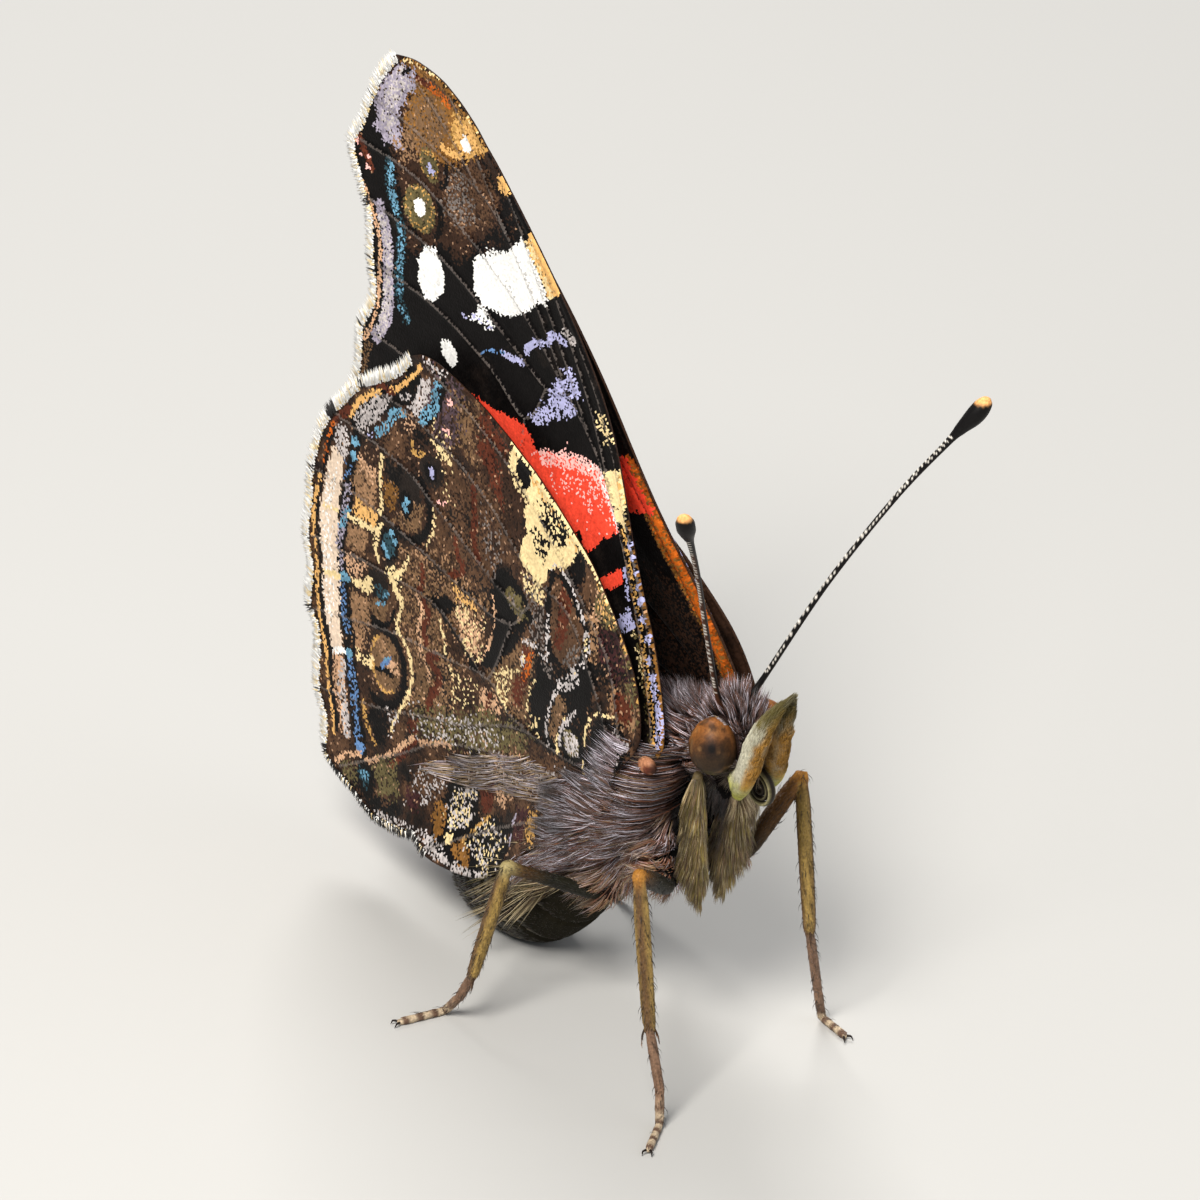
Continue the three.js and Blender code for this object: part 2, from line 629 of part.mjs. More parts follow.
function antenna(sideName, side) {
  const root = v3(side * ANTENNA_ROOT.x, ANTENNA_ROOT.y, ANTENNA_ROOT.z);
  const span = ANTENNA_TIP[sideName].clone().sub(root);
  const start = GAP / span.length();
  return limb(ANTENNA.map(([across, forward, up, thick], i) => [
    root.x + span.x * (i ? across : start),
    root.y + span.y * (i ? forward : start),
    root.z + span.z * (i ? up : start),
    thick,
  ]), { sides: 8, first: span });
}

// Palps stand up before the face: x, y, z, half width, half depth
const PALP = [
  [0.86, -1.15, 12.5, 0.28, 0.3],
  [0.9, -1.9, 12.95, 0.36, 0.48],
  [0.82, -2.45, 14.05, 0.42, 0.56],
  [0.7, -2.6, 15.1, 0.42, 0.54],
  [0.62, -2.65, 16.1, 0.38, 0.42],
  [0.5, -2.95, 16.9, 0.28, 0.3],
  [0.36, -3.35, 17.55, 0.12, 0.12],
];

// The left palp stands this much nearer the middle
const PALP_LEAN = 0.2;

const palp = (side) => limb(
  PALP.map(([x, y, z, half, deep], i) => [side > 0 ? x - PALP_LEAN * Math.min(i / 3, 1) : -x, y, z, half, deep]),
  { sides: 10 },
);

// Brush feet: the short forelegs folded down before the breast: x, y, z, half width, half depth
const BRUSH = [
  [0.78, 0.12, 11.7, 0.26, 0.3],
  [0.84, 0.3, 11.0, 0.42, 0.42],
  [0.82, 0.7, 9.9, 0.48, 0.5],
  [0.78, 1.0, 8.7, 0.46, 0.5],
  [0.68, 1.15, 7.5, 0.36, 0.42],
  [0.58, 1.15, 6.4, 0.14, 0.16],
];
const BREAST = { trunk: v3(0.62, 1.3, 12.4), hip: v3(0.76, 0.4, 11.95), thick: 0.34 };

// Locks on a brush foot: which section they grow from, and turns from its front in degrees, outward positive
const BRUSH_ROWS = [
  [1, [20, 75, 130]],
  [2, [-5, 50, 105, 160]],
  [3, [15, 70, 125]],
  [3.8, [0, 55, 110, 165]],
];
const BRUSH_LOCK = { length: 2.0, width: 0.72, flare: 0.2 };

function brushLimb(side) {
  const route = BRUSH.map(([x, y, z, half, deep]) => [side * x, y, z, half, deep]);
  const out = BREAST.hip.clone().sub(BREAST.trunk);
  out.x *= side;
  return limb(route, { sides: 8, first: out });
}

function brushFoot(side, neighbours) {
  let body = solid(brushLimb(side));
  for (const [place, turns] of BRUSH_ROWS) {
    const [a, b] = [BRUSH[Math.floor(place)], BRUSH[Math.ceil(place)]];
    const [x, y, z, half] = a.map((value, i) => lerp(value, b[i], place % 1));
    for (const turn of turns) {
      const angle = THREE.MathUtils.degToRad(turn + 8 * (random() - 0.5));
      const out = v3(side * Math.sin(angle), -Math.cos(angle), 0);
      const root = v3(side * x, y, z).addScaledVector(out, 0.8 * half);
      const lie = v3(0, 0, -1).addScaledVector(out, BRUSH_LOCK.flare).normalize();
      const length = BRUSH_LOCK.length * lerp(0.85, 1.15, random());
      const tuft = clearLock(root, out, lie, length, BRUSH_LOCK.width, neighbours);
      if (tuft) body = body.add(tuft);
    }
  }
  return body;
}

// Legs: trunk end of the hip, hip, knee, ankle, bow of the foot, where it meets the floor, and its tip
const LEGS = {
  mid_right: {
    trunk: v3(-1.1, 3.2, 9.2), hip: v3(-1.85, 1.75, 7.5), knee: v3(-5, -0.17, 9.93), ankle: v3(-5.7, -1.68, 4),
    bow: v3(-5.68, -2.3, 1.5), sole: v3(-5.95, -2.6, 0), tip: v3(-7.55, -3.83, 0),
  },
  mid_left: {
    trunk: v3(1.1, 3.2, 9.2), hip: v3(1.85, 1.75, 7.5), knee: v3(4.6, 1.3, 10.5), ankle: v3(3.2, -0.94, 4.78),
    bow: v3(4.1, -0.4, 1.75), sole: v3(4.46, -0.3, 0), tip: v3(4.19, -2.08, 0),
  },
  hind_right: {
    trunk: v3(-1.1, 5.5, 8), hip: v3(-1.6, 5.9, 5.2), knee: v3(-5.5, 7.43, 7.26), ankle: v3(-6.75, 8.14, 2.41),
    bow: v3(-6.8, 8.85, 1.2), sole: v3(-6.9, 9.72, 0), tip: v3(-8.95, 10.2, 0),
  },
  hind_left: {
    trunk: v3(1.1, 5.5, 8), hip: v3(1.6, 5.9, 5.2), knee: v3(4.9, 8.6, 7.2), ankle: v3(4.9, 11.4, 3.2),
    bow: v3(4.7, 11.85, 1.5), sole: v3(4.4, 12.4, 0), tip: v3(4.3, 14.4, 0),
  },
};
const HIP = [0.85, 0.8, 0.5, 0.3];
const FEMUR = [0.36, 0.42, 0.46, 0.34, 0.2];
const TIBIA = [0.2, 0.3, 0.32, 0.27, 0.22];
const TARSUS = [0.24, 0.26, 0.25, 0.24, 0.24, 0.12];
const FOOT_LIFT = 0.18;

const row = (point, ...size) => [point.x, point.y, point.z, ...size];
const between = (a, b, t) => a.clone().lerp(b, t);
const past = (a, b, reach) => b.clone().addScaledVector(b.clone().sub(a).normalize(), reach);
const LEG_HINT = { hint: v3(0, 1, 0), sides: 10 };

// Two limbs that meet are parted halfway round their bend by a slit of the gap's width.
function bendNormal(before, joint, after) {
  return joint.clone().sub(before).normalize().add(after.clone().sub(joint).normalize()).normalize();
}

function trim(geometry, startJoint, endJoint) {
  let body = solid(geometry);
  if (startJoint) {
    const normal = bendNormal(...startJoint);
    body = cutBeyond(body, startJoint[1].clone().addScaledVector(normal, GAP / 2), normal.negate());
  }
  if (endJoint) {
    const normal = bendNormal(...endJoint);
    body = cutBeyond(body, endJoint[1].clone().addScaledVector(normal, -GAP / 2), normal);
  }
  return body;
}

function hipPiece({ trunk, hip, knee }) {
  const geometry = limb([
    row(trunk, HIP[0]), row(between(trunk, hip, 0.55), HIP[1]), row(hip, HIP[2]), row(past(trunk, hip, 0.3), HIP[3]),
  ], LEG_HINT);
  return trim(geometry, null, [trunk, hip, knee]);
}

function femur({ trunk, hip, knee, ankle }) {
  const geometry = limb([
    row(past(knee, hip, 0.3), FEMUR[0]), row(between(hip, knee, 0.2), FEMUR[1]), row(between(hip, knee, 0.5), FEMUR[2]),
    row(between(hip, knee, 0.93), FEMUR[3]), row(past(hip, knee, 0.3), FEMUR[4]),
  ], LEG_HINT);
  return surface(trim(geometry, [trunk, hip, knee], [hip, knee, ankle]));
}

function tibia({ hip, knee, ankle, bow }) {
  const geometry = limb([
    row(past(ankle, knee, 0.3), TIBIA[0]), row(between(knee, ankle, 0.06), TIBIA[1]),
    row(between(knee, ankle, 0.5), TIBIA[2]), row(ankle, TIBIA[3]), row(past(knee, ankle, 0.2), TIBIA[4]),
  ], LEG_HINT);
  return surface(trim(geometry, [hip, knee, ankle], [knee, ankle, bow]));
}

function tarsus({ knee, ankle, bow, sole, tip }) {
  const lift = v3(0, 0, FOOT_LIFT);
  const heel = sole.clone().add(lift);
  const toe = tip.clone().add(lift);
  const hint = ankle.clone().sub(heel).cross(toe.clone().sub(heel)).normalize();
  const geometry = limb([
    row(past(bow, ankle, 0.2), TARSUS[0]), row(bow, TARSUS[1]),
    row(between(bow, heel, 0.85), TARSUS[2]), row(between(heel, toe, 0.2), TARSUS[3]),
    row(between(heel, toe, 0.8), TARSUS[4]), row(toe, TARSUS[5]),
  ], { hint, sides: 10, floor: FLOOR });
  return surface(trim(geometry, [knee, ankle, bow], null));
}

function thorax(neighbours) {
  const parts = [thoraxCore()];
  for (const side of [-1, 1]) {
    parts.push(ellipsoid(v3(side * 1.75, 1.2, 13.25), v3(0.4, 0.4, 0.5), 12, 8));
    parts.push(limb([
      [side * BREAST.trunk.x, BREAST.trunk.y, BREAST.trunk.z, BREAST.thick],
      [side * BREAST.hip.x, BREAST.hip.y, BREAST.hip.z, BREAST.thick * 0.85],
    ]));
  }
  const hips = Object.values(LEGS).map(hipPiece);
  const fur = thoraxFur(neighbours);
  return surface([...hips, ...fur].reduce((a, b) => a.add(b), fuse(parts)));
}

// The model

const model = new THREE.Group();
model.name = 'red_admiral';

function add(name, geometry, colour, roughness = 0.8) {
  const material = new THREE.MeshStandardMaterial({ color: colour, roughness, metalness: 0 });
  const mesh = new THREE.Mesh(geometry, material);
  mesh.name = name;
  model.add(mesh);
}

const SIDES = [['left', 1], ['right', -1]];
const sheets = {};
for (const [kindName, kind] of [['forewing', FOREWING], ['hindwing', HINDWING]]) {
  const net = wingNet(kind);
  for (const [sideName, side] of SIDES) sheets[`${kindName}_${sideName}`] = wing(kind, net, side);
}
const wings = Object.values(sheets).map(solid);
const headForm = head();
const abdomenForm = abdomen();
const tongueForm = surface(tongue());
const femora = Object.fromEntries(Object.entries(LEGS).map(([name, leg]) => [name, femur(leg)]));
const tibiae = Object.fromEntries(Object.entries(LEGS).map(([name, leg]) => [name, tibia(leg)]));
const legForms = [...Object.values(femora), ...Object.values(tibiae)].map(solid);
const limbs = [brushLimb(1), brushLimb(-1)].map(solid);
const ahead = [headForm, tongueForm, palp(1), palp(-1)].map(solid);
const thoraxForm = thorax([...wings, ...legForms, ...limbs, ...ahead, solid(abdomenForm)]);
const nearBrush = [...ahead, ...legForms, solid(thoraxForm)];
const rightBrush = brushFoot(-1, [...nearBrush, limbs[0]]);
const leftBrush = brushFoot(1, [...nearBrush, rightBrush]);

add('head', headForm, COLOURS.fur);
add('thorax', thoraxForm, COLOURS.fur);
add('abdomen', abdomenForm, COLOURS.abdomen);
add('proboscis', tongueForm, COLOURS.dark);
add('foreleg_left', surface(leftBrush), COLOURS.brush);
add('foreleg_right', surface(rightBrush), COLOURS.brush);
for (const [sideName, side] of SIDES) {
  add(`eye_${sideName}`, surface(eyeForm(side, 0, EYE_INNER_FACE)), COLOURS.eye, 0.3);
  add(`palp_${sideName}`, palp(side), COLOURS.palp);
  add(`antenna_${sideName}`, antenna(sideName, side), COLOURS.dark);
  add(`forewing_${sideName}`, sheets[`forewing_${sideName}`], COLOURS.forewing);
  add(`hindwing_${sideName}`, sheets[`hindwing_${sideName}`], COLOURS.hindwing);
}
for (const [name, leg] of Object.entries(LEGS)) {
  add(`${name}_femur`, femora[name], COLOURS.dark);
  add(`${name}_tibia`, tibiae[name], COLOURS.leg);
  add(`${name}_tarsus`, tarsus(leg), COLOURS.leg);
}

const bounds = new THREE.Box3().setFromObject(model);
const middle = bounds.getCenter(v3(0, 0, 0));
model.position.set(-middle.x, -middle.y, -bounds.min.z);
model.updateMatrixWorld(true);

export default model;
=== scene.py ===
"""Red admiral butterfly at rest with closed wings, dressed piece by piece over the measured frame."""

import math

import bpy
import numpy as np
from mathutils import Euler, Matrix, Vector


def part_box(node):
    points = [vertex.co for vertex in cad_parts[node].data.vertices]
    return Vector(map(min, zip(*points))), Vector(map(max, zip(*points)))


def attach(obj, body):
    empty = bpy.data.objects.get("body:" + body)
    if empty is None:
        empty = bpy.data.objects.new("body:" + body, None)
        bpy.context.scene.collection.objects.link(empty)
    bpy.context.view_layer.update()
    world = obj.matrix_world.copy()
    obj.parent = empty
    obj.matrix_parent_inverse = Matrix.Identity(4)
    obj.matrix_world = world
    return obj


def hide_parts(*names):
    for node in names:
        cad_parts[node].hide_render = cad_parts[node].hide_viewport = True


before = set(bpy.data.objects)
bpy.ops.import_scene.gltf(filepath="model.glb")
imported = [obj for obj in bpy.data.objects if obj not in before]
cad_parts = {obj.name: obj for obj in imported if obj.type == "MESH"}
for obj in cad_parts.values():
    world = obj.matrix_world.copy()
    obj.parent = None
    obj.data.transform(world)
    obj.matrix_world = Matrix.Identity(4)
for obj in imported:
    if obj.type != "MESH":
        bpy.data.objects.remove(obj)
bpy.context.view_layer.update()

bl_info = {
    "name": "Red Admiral Butterfly",
    "version": (1, 0, 0),
    "blender": (4, 5, 0),
    "location": "View3D > Sidebar > Butterfly",
    "description": "Scaled wings, fur, eyes and legs for a resting red admiral",
    "category": "Add Mesh",
}

BODY = "root"

# Working frame, in millimetres: X to the animal's left, Y backward, Z up from the floor.
# The tongue's middle is known in it, so its box in the frame says where the working frame lies.
TONGUE_MIDDLE = (0.0, -1.6, 12.55)
TONGUE_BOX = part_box("proboscis")
ORIGIN = np.array([
    (TONGUE_BOX[0][0] + TONGUE_BOX[1][0]) / 2 - TONGUE_MIDDLE[0] / 1000,
    (TONGUE_BOX[0][1] + TONGUE_BOX[1][1]) / 2 - TONGUE_MIDDLE[1] / 1000,
    0.0,
])

BODY_PITCH = math.radians(40)
BODY_BACK = np.array([0, math.cos(BODY_PITCH), -math.sin(BODY_PITCH)])
BODY_UP = np.array([0, math.sin(BODY_PITCH), math.cos(BODY_PITCH)])
NECK = np.array([0, 0.55, 13.75])
EYE_CENTRE = np.array([1.25, -0.2, 14.4])
EYE_SIZE = np.array([1.0, 1.02, 1.2])
SIDES = (("left", 1), ("right", -1))

# Camera: turn round the object and height above it in degrees, and its place in the working frame
CAMERA_TURN = 39.4
CAMERA_RISE = 27.0
CAMERA_PLACE = (-171.995, -201.082, 155.092)
CAMERA_LENS = 230.4


def to_frame(points):
    """Working-frame millimetres to the frame's metres."""
    return np.asarray(points, dtype=float) / 1000 + ORIGIN


def shade(red, green, blue):
    """A colour picked on a 0 to 255 scale, as linear light."""
    parts = np.array([red, green, blue]) / 255
    linear = np.where(parts <= 0.04045, parts / 12.92, ((parts + 0.055) / 1.055) ** 2.4)
    return linear.round(5)


COLOURS = {
    "black": shade(13, 11, 11),
    "soot": shade(32, 26, 23),
    "umber": shade(52, 35, 26),
    "brown": shade(84, 60, 43),
    "bronze": shade(112, 85, 60),
    "tan": shade(146, 112, 82),
    "peach": shade(202, 160, 126),
    "pale_tan": shade(222, 200, 178),
    "gold_brown": shade(128, 88, 42),
    "gold": shade(190, 146, 82),
    "amber": shade(222, 172, 104),
    "orange": shade(186, 92, 28),
    "red": shade(238, 74, 52),
    "pink": shade(246, 186, 178),
    "rust": shade(86, 42, 27),
    "plum": shade(56, 30, 31),
    "cream": shade(228, 204, 152),
    "white": shade(236, 235, 232),
    "silver": shade(186, 178, 176),
    "grey": shade(112, 103, 98),
    "lilac": shade(170, 170, 208),
    "grey_lilac": shade(158, 150, 166),
    "blue": shade(92, 126, 172),
    "turquoise": shade(104, 152, 178),
    "teal": shade(44, 72, 82),
    "olive": shade(96, 86, 56),
    "purple": shade(78, 62, 68),
}

TONES = {
    "skin": shade(40, 28, 25),
    # near black painted as shadow in the hollow between the brush feet and the thorax
    "skin hollow shadow": shade(7, 6, 6),
    "skin abdomen": shade(34, 31, 22),
    "eye low": shade(50, 35, 20),
    # orange painted as light on the eye's upper part
    "eye lit": shade(140, 84, 34),
    "eye edge": shade(150, 94, 52),
    "eye belly": shade(92, 84, 46),
    "eye blotch": shade(38, 24, 12),
    "eye bright": shade(136, 98, 58),
    "eye speck": shade(40, 26, 18),
    "eye halo": shade(30, 18, 12),
    "eye pupil": shade(10, 6, 5),
    "eye dot": shade(20, 13, 10),
    "feeler rust": shade(104, 58, 34),
    "feeler ring": shade(226, 220, 210),
    "feeler tip": shade(232, 168, 104),
    "palp flank": shade(176, 172, 152),
    "palp flank high": shade(96, 86, 44),
    "palp shadow": shade(120, 114, 92),
    "palp front": shade(160, 118, 48),
    "palp front high": shade(128, 104, 46),
    "palp base": shade(148, 146, 66),
    "tongue": shade(30, 24, 18),
    "tongue edge": shade(150, 142, 104),
    "brush": shade(96, 82, 56),
    "mid knee": shade(168, 114, 46),
    "hind knee": shade(160, 146, 100),
    "femur": shade(28, 27, 19),
    "femur end": shade(112, 76, 40),
    "tibia": shade(96, 72, 46),
    "tibia flank": shade(146, 120, 66),
    "tibia fleck": shade(56, 38, 24),
    "foot ring": shade(196, 178, 150),
    "foot gap": shade(86, 66, 54),
    "foot start": shade(126, 98, 78),
    "foot fleck": shade(66, 46, 38),
    "spine": shade(40, 30, 22),
    "spur": shade(58, 40, 26),
    "claw": shade(30, 22, 18),
    "knob": shade(172, 118, 86),
    "knob patch": shade(96, 48, 32),
    "knob rim": shade(52, 28, 20),
}

rng = np.random.default_rng(11)


# Small tools

def smooth_max(a, b, blend):
    return 0.5 * (a + b + np.hypot(a - b, blend))


def smoothstep(x, low, high):
    t = np.clip((x - low) / (high - low), 0, 1)
    return t * t * (3 - 2 * t)


def unit(vectors):
    length = np.linalg.norm(vectors, axis=-1, keepdims=True)
    return vectors / np.maximum(length, 1e-9)


def catmull(points, steps):
    """Points along a smooth curve that passes through the given points."""
    p = np.asarray(points, dtype=float)
    padded = np.vstack([p[:1], p, p[-1:]])
    rows = []
    for i in range(len(p) - 1):
        a, b, c, d = padded[i:i + 4]
        slope_b, slope_c = (c - a) / 2, (d - b) / 2
        for t in np.arange(steps) / steps:
            rows.append((2 * b - 2 * c + slope_b + slope_c) * t ** 3
                        + (-3 * b + 3 * c - 2 * slope_b - slope_c) * t ** 2 + slope_b * t + b)
    rows.append(p[-1])
    return np.array(rows)


def inside(u, v, outline):
    """Which of the points lie inside a closed outline."""
    odd = np.zeros(np.shape(u), dtype=bool)
    ends = np.roll(outline, -1, axis=0)
    for (au, av), (bu, bv) in zip(outline, ends):
        if av == bv:
            continue
        crosses = (av > v) != (bv > v)
        odd ^= crosses & (u < (bu - au) * (v - av) / (bv - av) + au)
    return odd


def line_distance(u, v, line):
    """Distance to a line of points, and how far along it the nearest place is, from 0 to 1."""
    best = np.full(np.shape(u), 1e9)
    place = np.zeros(np.shape(u))
    count = len(line) - 1
    for i in range(count):
        a, b = np.asarray(line[i], dtype=float), np.asarray(line[i + 1], dtype=float)
        along = b - a
        t = np.clip(((u - a[0]) * along[0] + (v - a[1]) * along[1]) / max(along @ along, 1e-12), 0, 1)
        distance = np.hypot(u - a[0] - t * along[0], v - a[1] - t * along[1])
        nearer = distance < best
        best = np.where(nearer, distance, best)
        place = np.where(nearer, (i + t) / count, place)
    return best, place


NOISE_STEPS = (127.1, 311.7, 74.7)
NOISE_SEED_STEP = 53.3
NOISE_SPREAD = 43758.5453


def wander(x, y, size, seed, z=0.0):
    """Smooth noise from -1 to 1 whose lumps are about size across."""
    total = np.zeros(np.shape(x))
    cells = [np.floor(np.asarray(c) / size) for c in (x, y, z * np.ones(np.shape(x)))]
    parts = [np.asarray(c) / size - f for c, f in zip((x, y, z * np.ones(np.shape(x))), cells)]
    eased = [p * p * (3 - 2 * p) for p in parts]
    for corner in range(8):
        bits = [(corner >> k) & 1 for k in range(3)]
        key = sum((c + b) * k for c, b, k in zip(cells, bits, NOISE_STEPS)) + seed * NOISE_SEED_STEP
        value = np.sin(key) * NOISE_SPREAD
        value = 2 * (value - np.floor(value)) - 1
        weight = 1.0
        for b, e in zip(bits, eased):
            weight = weight * (e if b else 1 - e)
        total += value * weight
    return total


def deselect():
    if bpy.context.object and bpy.context.object.mode != "OBJECT":
        bpy.ops.object.mode_set(mode="OBJECT")
    bpy.ops.object.select_all(action="DESELECT")


def make_active(obj):
    deselect()
    obj.select_set(True)
    bpy.context.view_layer.objects.active = obj


def coordinates(mesh):
    values = np.empty(len(mesh.vertices) * 3)
    mesh.vertices.foreach_get("co", values)
    return values.reshape(-1, 3)


def working_points(obj):
    """A piece's points in working millimetres."""
    return (coordinates(obj.data) - ORIGIN) * 1000


def set_coordinates(mesh, points):
    mesh.vertices.foreach_set("co", np.asarray(points, dtype=float).ravel())
    mesh.update()


def paint_points(mesh, name, colours):
    """Writes one colour for each point of a mesh."""
    layer = mesh.color_attributes.new(name, "FLOAT_COLOR", "POINT")
    values = np.ones((len(mesh.vertices), 4))
    values[:, :3] = colours
    layer.data.foreach_set("color", values.ravel())


def corner_points(mesh):
    corners = np.empty(len(mesh.loops), dtype=np.int32)
    mesh.loops.foreach_get("vertex_index", corners)
    return corners


def mesh_from_triangles(name, points, triangles):
    """A mesh object from an array of points in the working frame and one of triangles."""
    mesh = bpy.data.meshes.new(name)
    mesh.vertices.add(len(points))
    mesh.loops.add(len(triangles) * 3)
    mesh.polygons.add(len(triangles))
    mesh.vertices.foreach_set("co", to_frame(points).ravel())
    mesh.loops.foreach_set("vertex_index", triangles.ravel().astype(np.int32))
    mesh.polygons.foreach_set("loop_start", np.arange(0, len(triangles) * 3, 3, dtype=np.int32))
    mesh.polygons.foreach_set("use_smooth", np.ones(len(triangles), dtype=bool))
    mesh.update(calc_edges=True)
    obj = bpy.data.objects.new(name, mesh)
    bpy.context.collection.objects.link(obj)
    return obj


def settle(obj, material, slot, *nodes):
    """Gives a finished piece its material, hangs it on the body and hides the frame's parts that it stands
    for. The slot is not used.
    """
    obj.data.materials.append(material)
    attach(obj, BODY)
    if nodes:
        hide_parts(*nodes)


def apply_modifier(obj, kind, **settings):
    make_active(obj)
    modifier = obj.modifiers.new(kind.title(), kind)
    for key, value in settings.items():
        setattr(modifier, key, value)
    bpy.ops.object.modifier_apply(modifier=modifier.name)


def smooth_faces(obj):
    make_active(obj)
    bpy.ops.object.shade_smooth()


def fix_normals(obj):
    make_active(obj)
    bpy.ops.object.mode_set(mode="EDIT")
    bpy.ops.mesh.select_all(action="SELECT")
    bpy.ops.mesh.normals_make_consistent(inside=False)
    bpy.ops.object.mode_set(mode="OBJECT")


def tube(name, route, sides=12, hint=(1.0, 0.0, 0.0), floor=None):
    """A limb along rows of place, half width and half depth: an extruded prism is laid on them."""
    rows = np.array([row if len(row) == 5 else (*row, row[3]) for row in route], dtype=float)
    step = 0.001
    deselect()
    bpy.ops.mesh.primitive_circle_add(vertices=sides, radius=step, fill_type="NGON")
    obj = bpy.context.object
    obj.name = obj.data.name = name
    bpy.ops.object.mode_set(mode="EDIT")
    for _ in rows[1:]:
        bpy.ops.mesh.extrude_region_move(TRANSFORM_OT_translate={"value": (0, 0, step)})
    bpy.ops.object.mode_set(mode="OBJECT")
    prism = coordinates(obj.data)
    level = np.round(prism[:, 2] / step).astype(int)
    turn = np.arctan2(prism[:, 1], prism[:, 0])[:, None]
    places = rows[:, :3]
    ends = np.arange(len(rows))
    along = unit(places[np.minimum(ends + 1, len(rows) - 1)] - places[np.maximum(ends - 1, 0)])
    hint = np.asarray(hint, dtype=float)
    across = unit(hint - along * (along @ hint)[:, None])
    above = np.cross(along, across)
    points = (places[level] + rows[level, 3:4] * np.sin(turn) * across[level]
              + rows[level, 4:5] * np.cos(turn) * above[level])
    if floor is not None:
        points[:, 2] = np.maximum(points[:, 2], floor)
    set_coordinates(obj.data, to_frame(points))
    fix_normals(obj)
    smooth_faces(obj)
    return obj


def ellipsoid(centre, size, pitch=0.0, segments=32, rings=16):
    """A sphere primitive, stretched, pitched about X and moved to its place, in working millimetres."""
    deselect()
    bpy.ops.mesh.primitive_uv_sphere_add(
        segments=segments, ring_count=rings, radius=0.001,
        location=to_frame(centre), rotation=(pitch, 0, 0), scale=tuple(size),
    )
    obj = bpy.context.object
    bpy.ops.object.transform_apply(location=True, rotation=True, scale=True)
    return obj


def join(objects, name):
    deselect()
    for obj in objects:
        obj.select_set(True)
    bpy.context.view_layer.objects.active = objects[0]
    bpy.ops.object.join()
    obj = bpy.context.object
    obj.name = obj.data.name = name
    return obj


# Wings: how each sheet lies, in a flat plane of its own and bent by its distance from the middle plane

THORAX_SECTIONS = np.array([
    (0.45, 0.95, 1.4, 0.85), (1.1, 1.6, 2.4, 1.0), (2.0, 2.15, 2.85, 1.35), (3.5, 2.4, 3.1, 2.0),
    (5.2, 2.4, 2.95, 2.9), (6.8, 2.15, 2.4, 3.2), (8.2, 1.7, 1.8, 2.6), (9.2, 1.15, 1.25, 1.7),
])
ABDOMEN_SECTIONS = np.array([
    (7.43, 7.18, 1.3, 1.35), (8.5, 5.9, 1.85, 1.95), (9.7, 4.75, 2.1, 2.35), (11.0, 3.45, 2.2, 2.55),
    (12.4, 2.55, 2.2, 2.7), (13.8, 2.1, 2.05, 2.45), (15.1, 1.85, 1.75, 2.1), (16.2, 1.7, 1.25, 1.55),
    (17.0, 1.6, 0.6, 0.8),
])
FOREWING_ROOT = (2.1, 13.5)
FOREWING_SLOPE = math.radians(51.45)
HINDWING_ROOT = (3.9, 12.0)
LEFT_SWING = math.radians(3.9)
WING_SPACING = 0.95
WING_CLEARANCE = 0.69


def thorax_sag(behind):
    """How far the thorax's middle line sinks towards its rear."""
    return -0.03 * np.maximum(behind - 5, 0) ** 2


def thorax_half_width(y, z):
    dy, dz = y - NECK[1], z - NECK[2]
    behind = dy * math.cos(BODY_PITCH) - dz * math.sin(BODY_PITCH)
    height = dy * math.sin(BODY_PITCH) + dz * math.cos(BODY_PITCH) - thorax_sag(behind)
    half, up, down = (np.interp(behind, THORAX_SECTIONS[:, 0], THORAX_SECTIONS[:, k]) for k in (1, 2, 3))
    past = np.maximum(np.maximum(THORAX_SECTIONS[0, 0] - behind, behind - THORAX_SECTIONS[-1, 0]), 0)
    reach = np.abs(height) / np.where(height > 0, up, down) + past
    power = np.where(height > 0, 1.6, 2.2)
    within = half * np.maximum(1 - np.minimum(reach, 1) ** power, 0) ** (1 / power)
    return np.where(reach < 1, within, -3 * (reach - 1))


def forewing_place(u, v):
    c, s = math.cos(FOREWING_SLOPE), math.sin(FOREWING_SLOPE)
    return FOREWING_ROOT[0] + u * c + v * s, FOREWING_ROOT[1] + u * s - v * c


def forewing_open(y, z):
    dy, dz = y - FOREWING_ROOT[0], z - FOREWING_ROOT[1]
    behind = dy * math.sin(FOREWING_SLOPE) - dz * math.cos(FOREWING_SLOPE)
    narrow = smooth_max(2.2 - 0.145 * np.hypot(dy, dz), 0.42, 0.35)
    return narrow + 0.7 * (1 - np.exp(-np.maximum(behind, 0) / 8))


def forewing_spread(y, z):
    return smooth_max(forewing_open(y, z), thorax_half_width(y, z) + WING_CLEARANCE, 0.3)


def hindwing_place(u, v):
    return HINDWING_ROOT[0] + u, HINDWING_ROOT[1] - v


def hindwing_spread(y, z):
    distance, _ = line_distance(y, z, ABDOMEN_SECTIONS[:, :2])
    bulge = 2.95 * np.exp(-(distance / 4.6) ** 2)
    dy, dz = y - FOREWING_ROOT[0], z - FOREWING_ROOT[1]
    along = dy * math.cos(FOREWING_SLOPE) + dz * math.sin(FOREWING_SLOPE)
    behind = dy * math.sin(FOREWING_SLOPE) - dz * math.cos(FOREWING_SLOPE)
    cover = 1 - smoothstep(behind - 0.69 * along - 1.3, 0.4, 1.8)
    layer = thorax_half_width(y, z) + WING_CLEARANCE + WING_SPACING * cover
    return smooth_max(smooth_max(forewing_open(y, z) + WING_SPACING, layer, 0.3), bulge, 0.5)


def numbers(word):
    return tuple(float(part) for part in word.split(","))


def places(text):
    """Reads places written as pairs: how far along the sheet from its root, and how far across it."""
    return [numbers(word) for word in text.split()]


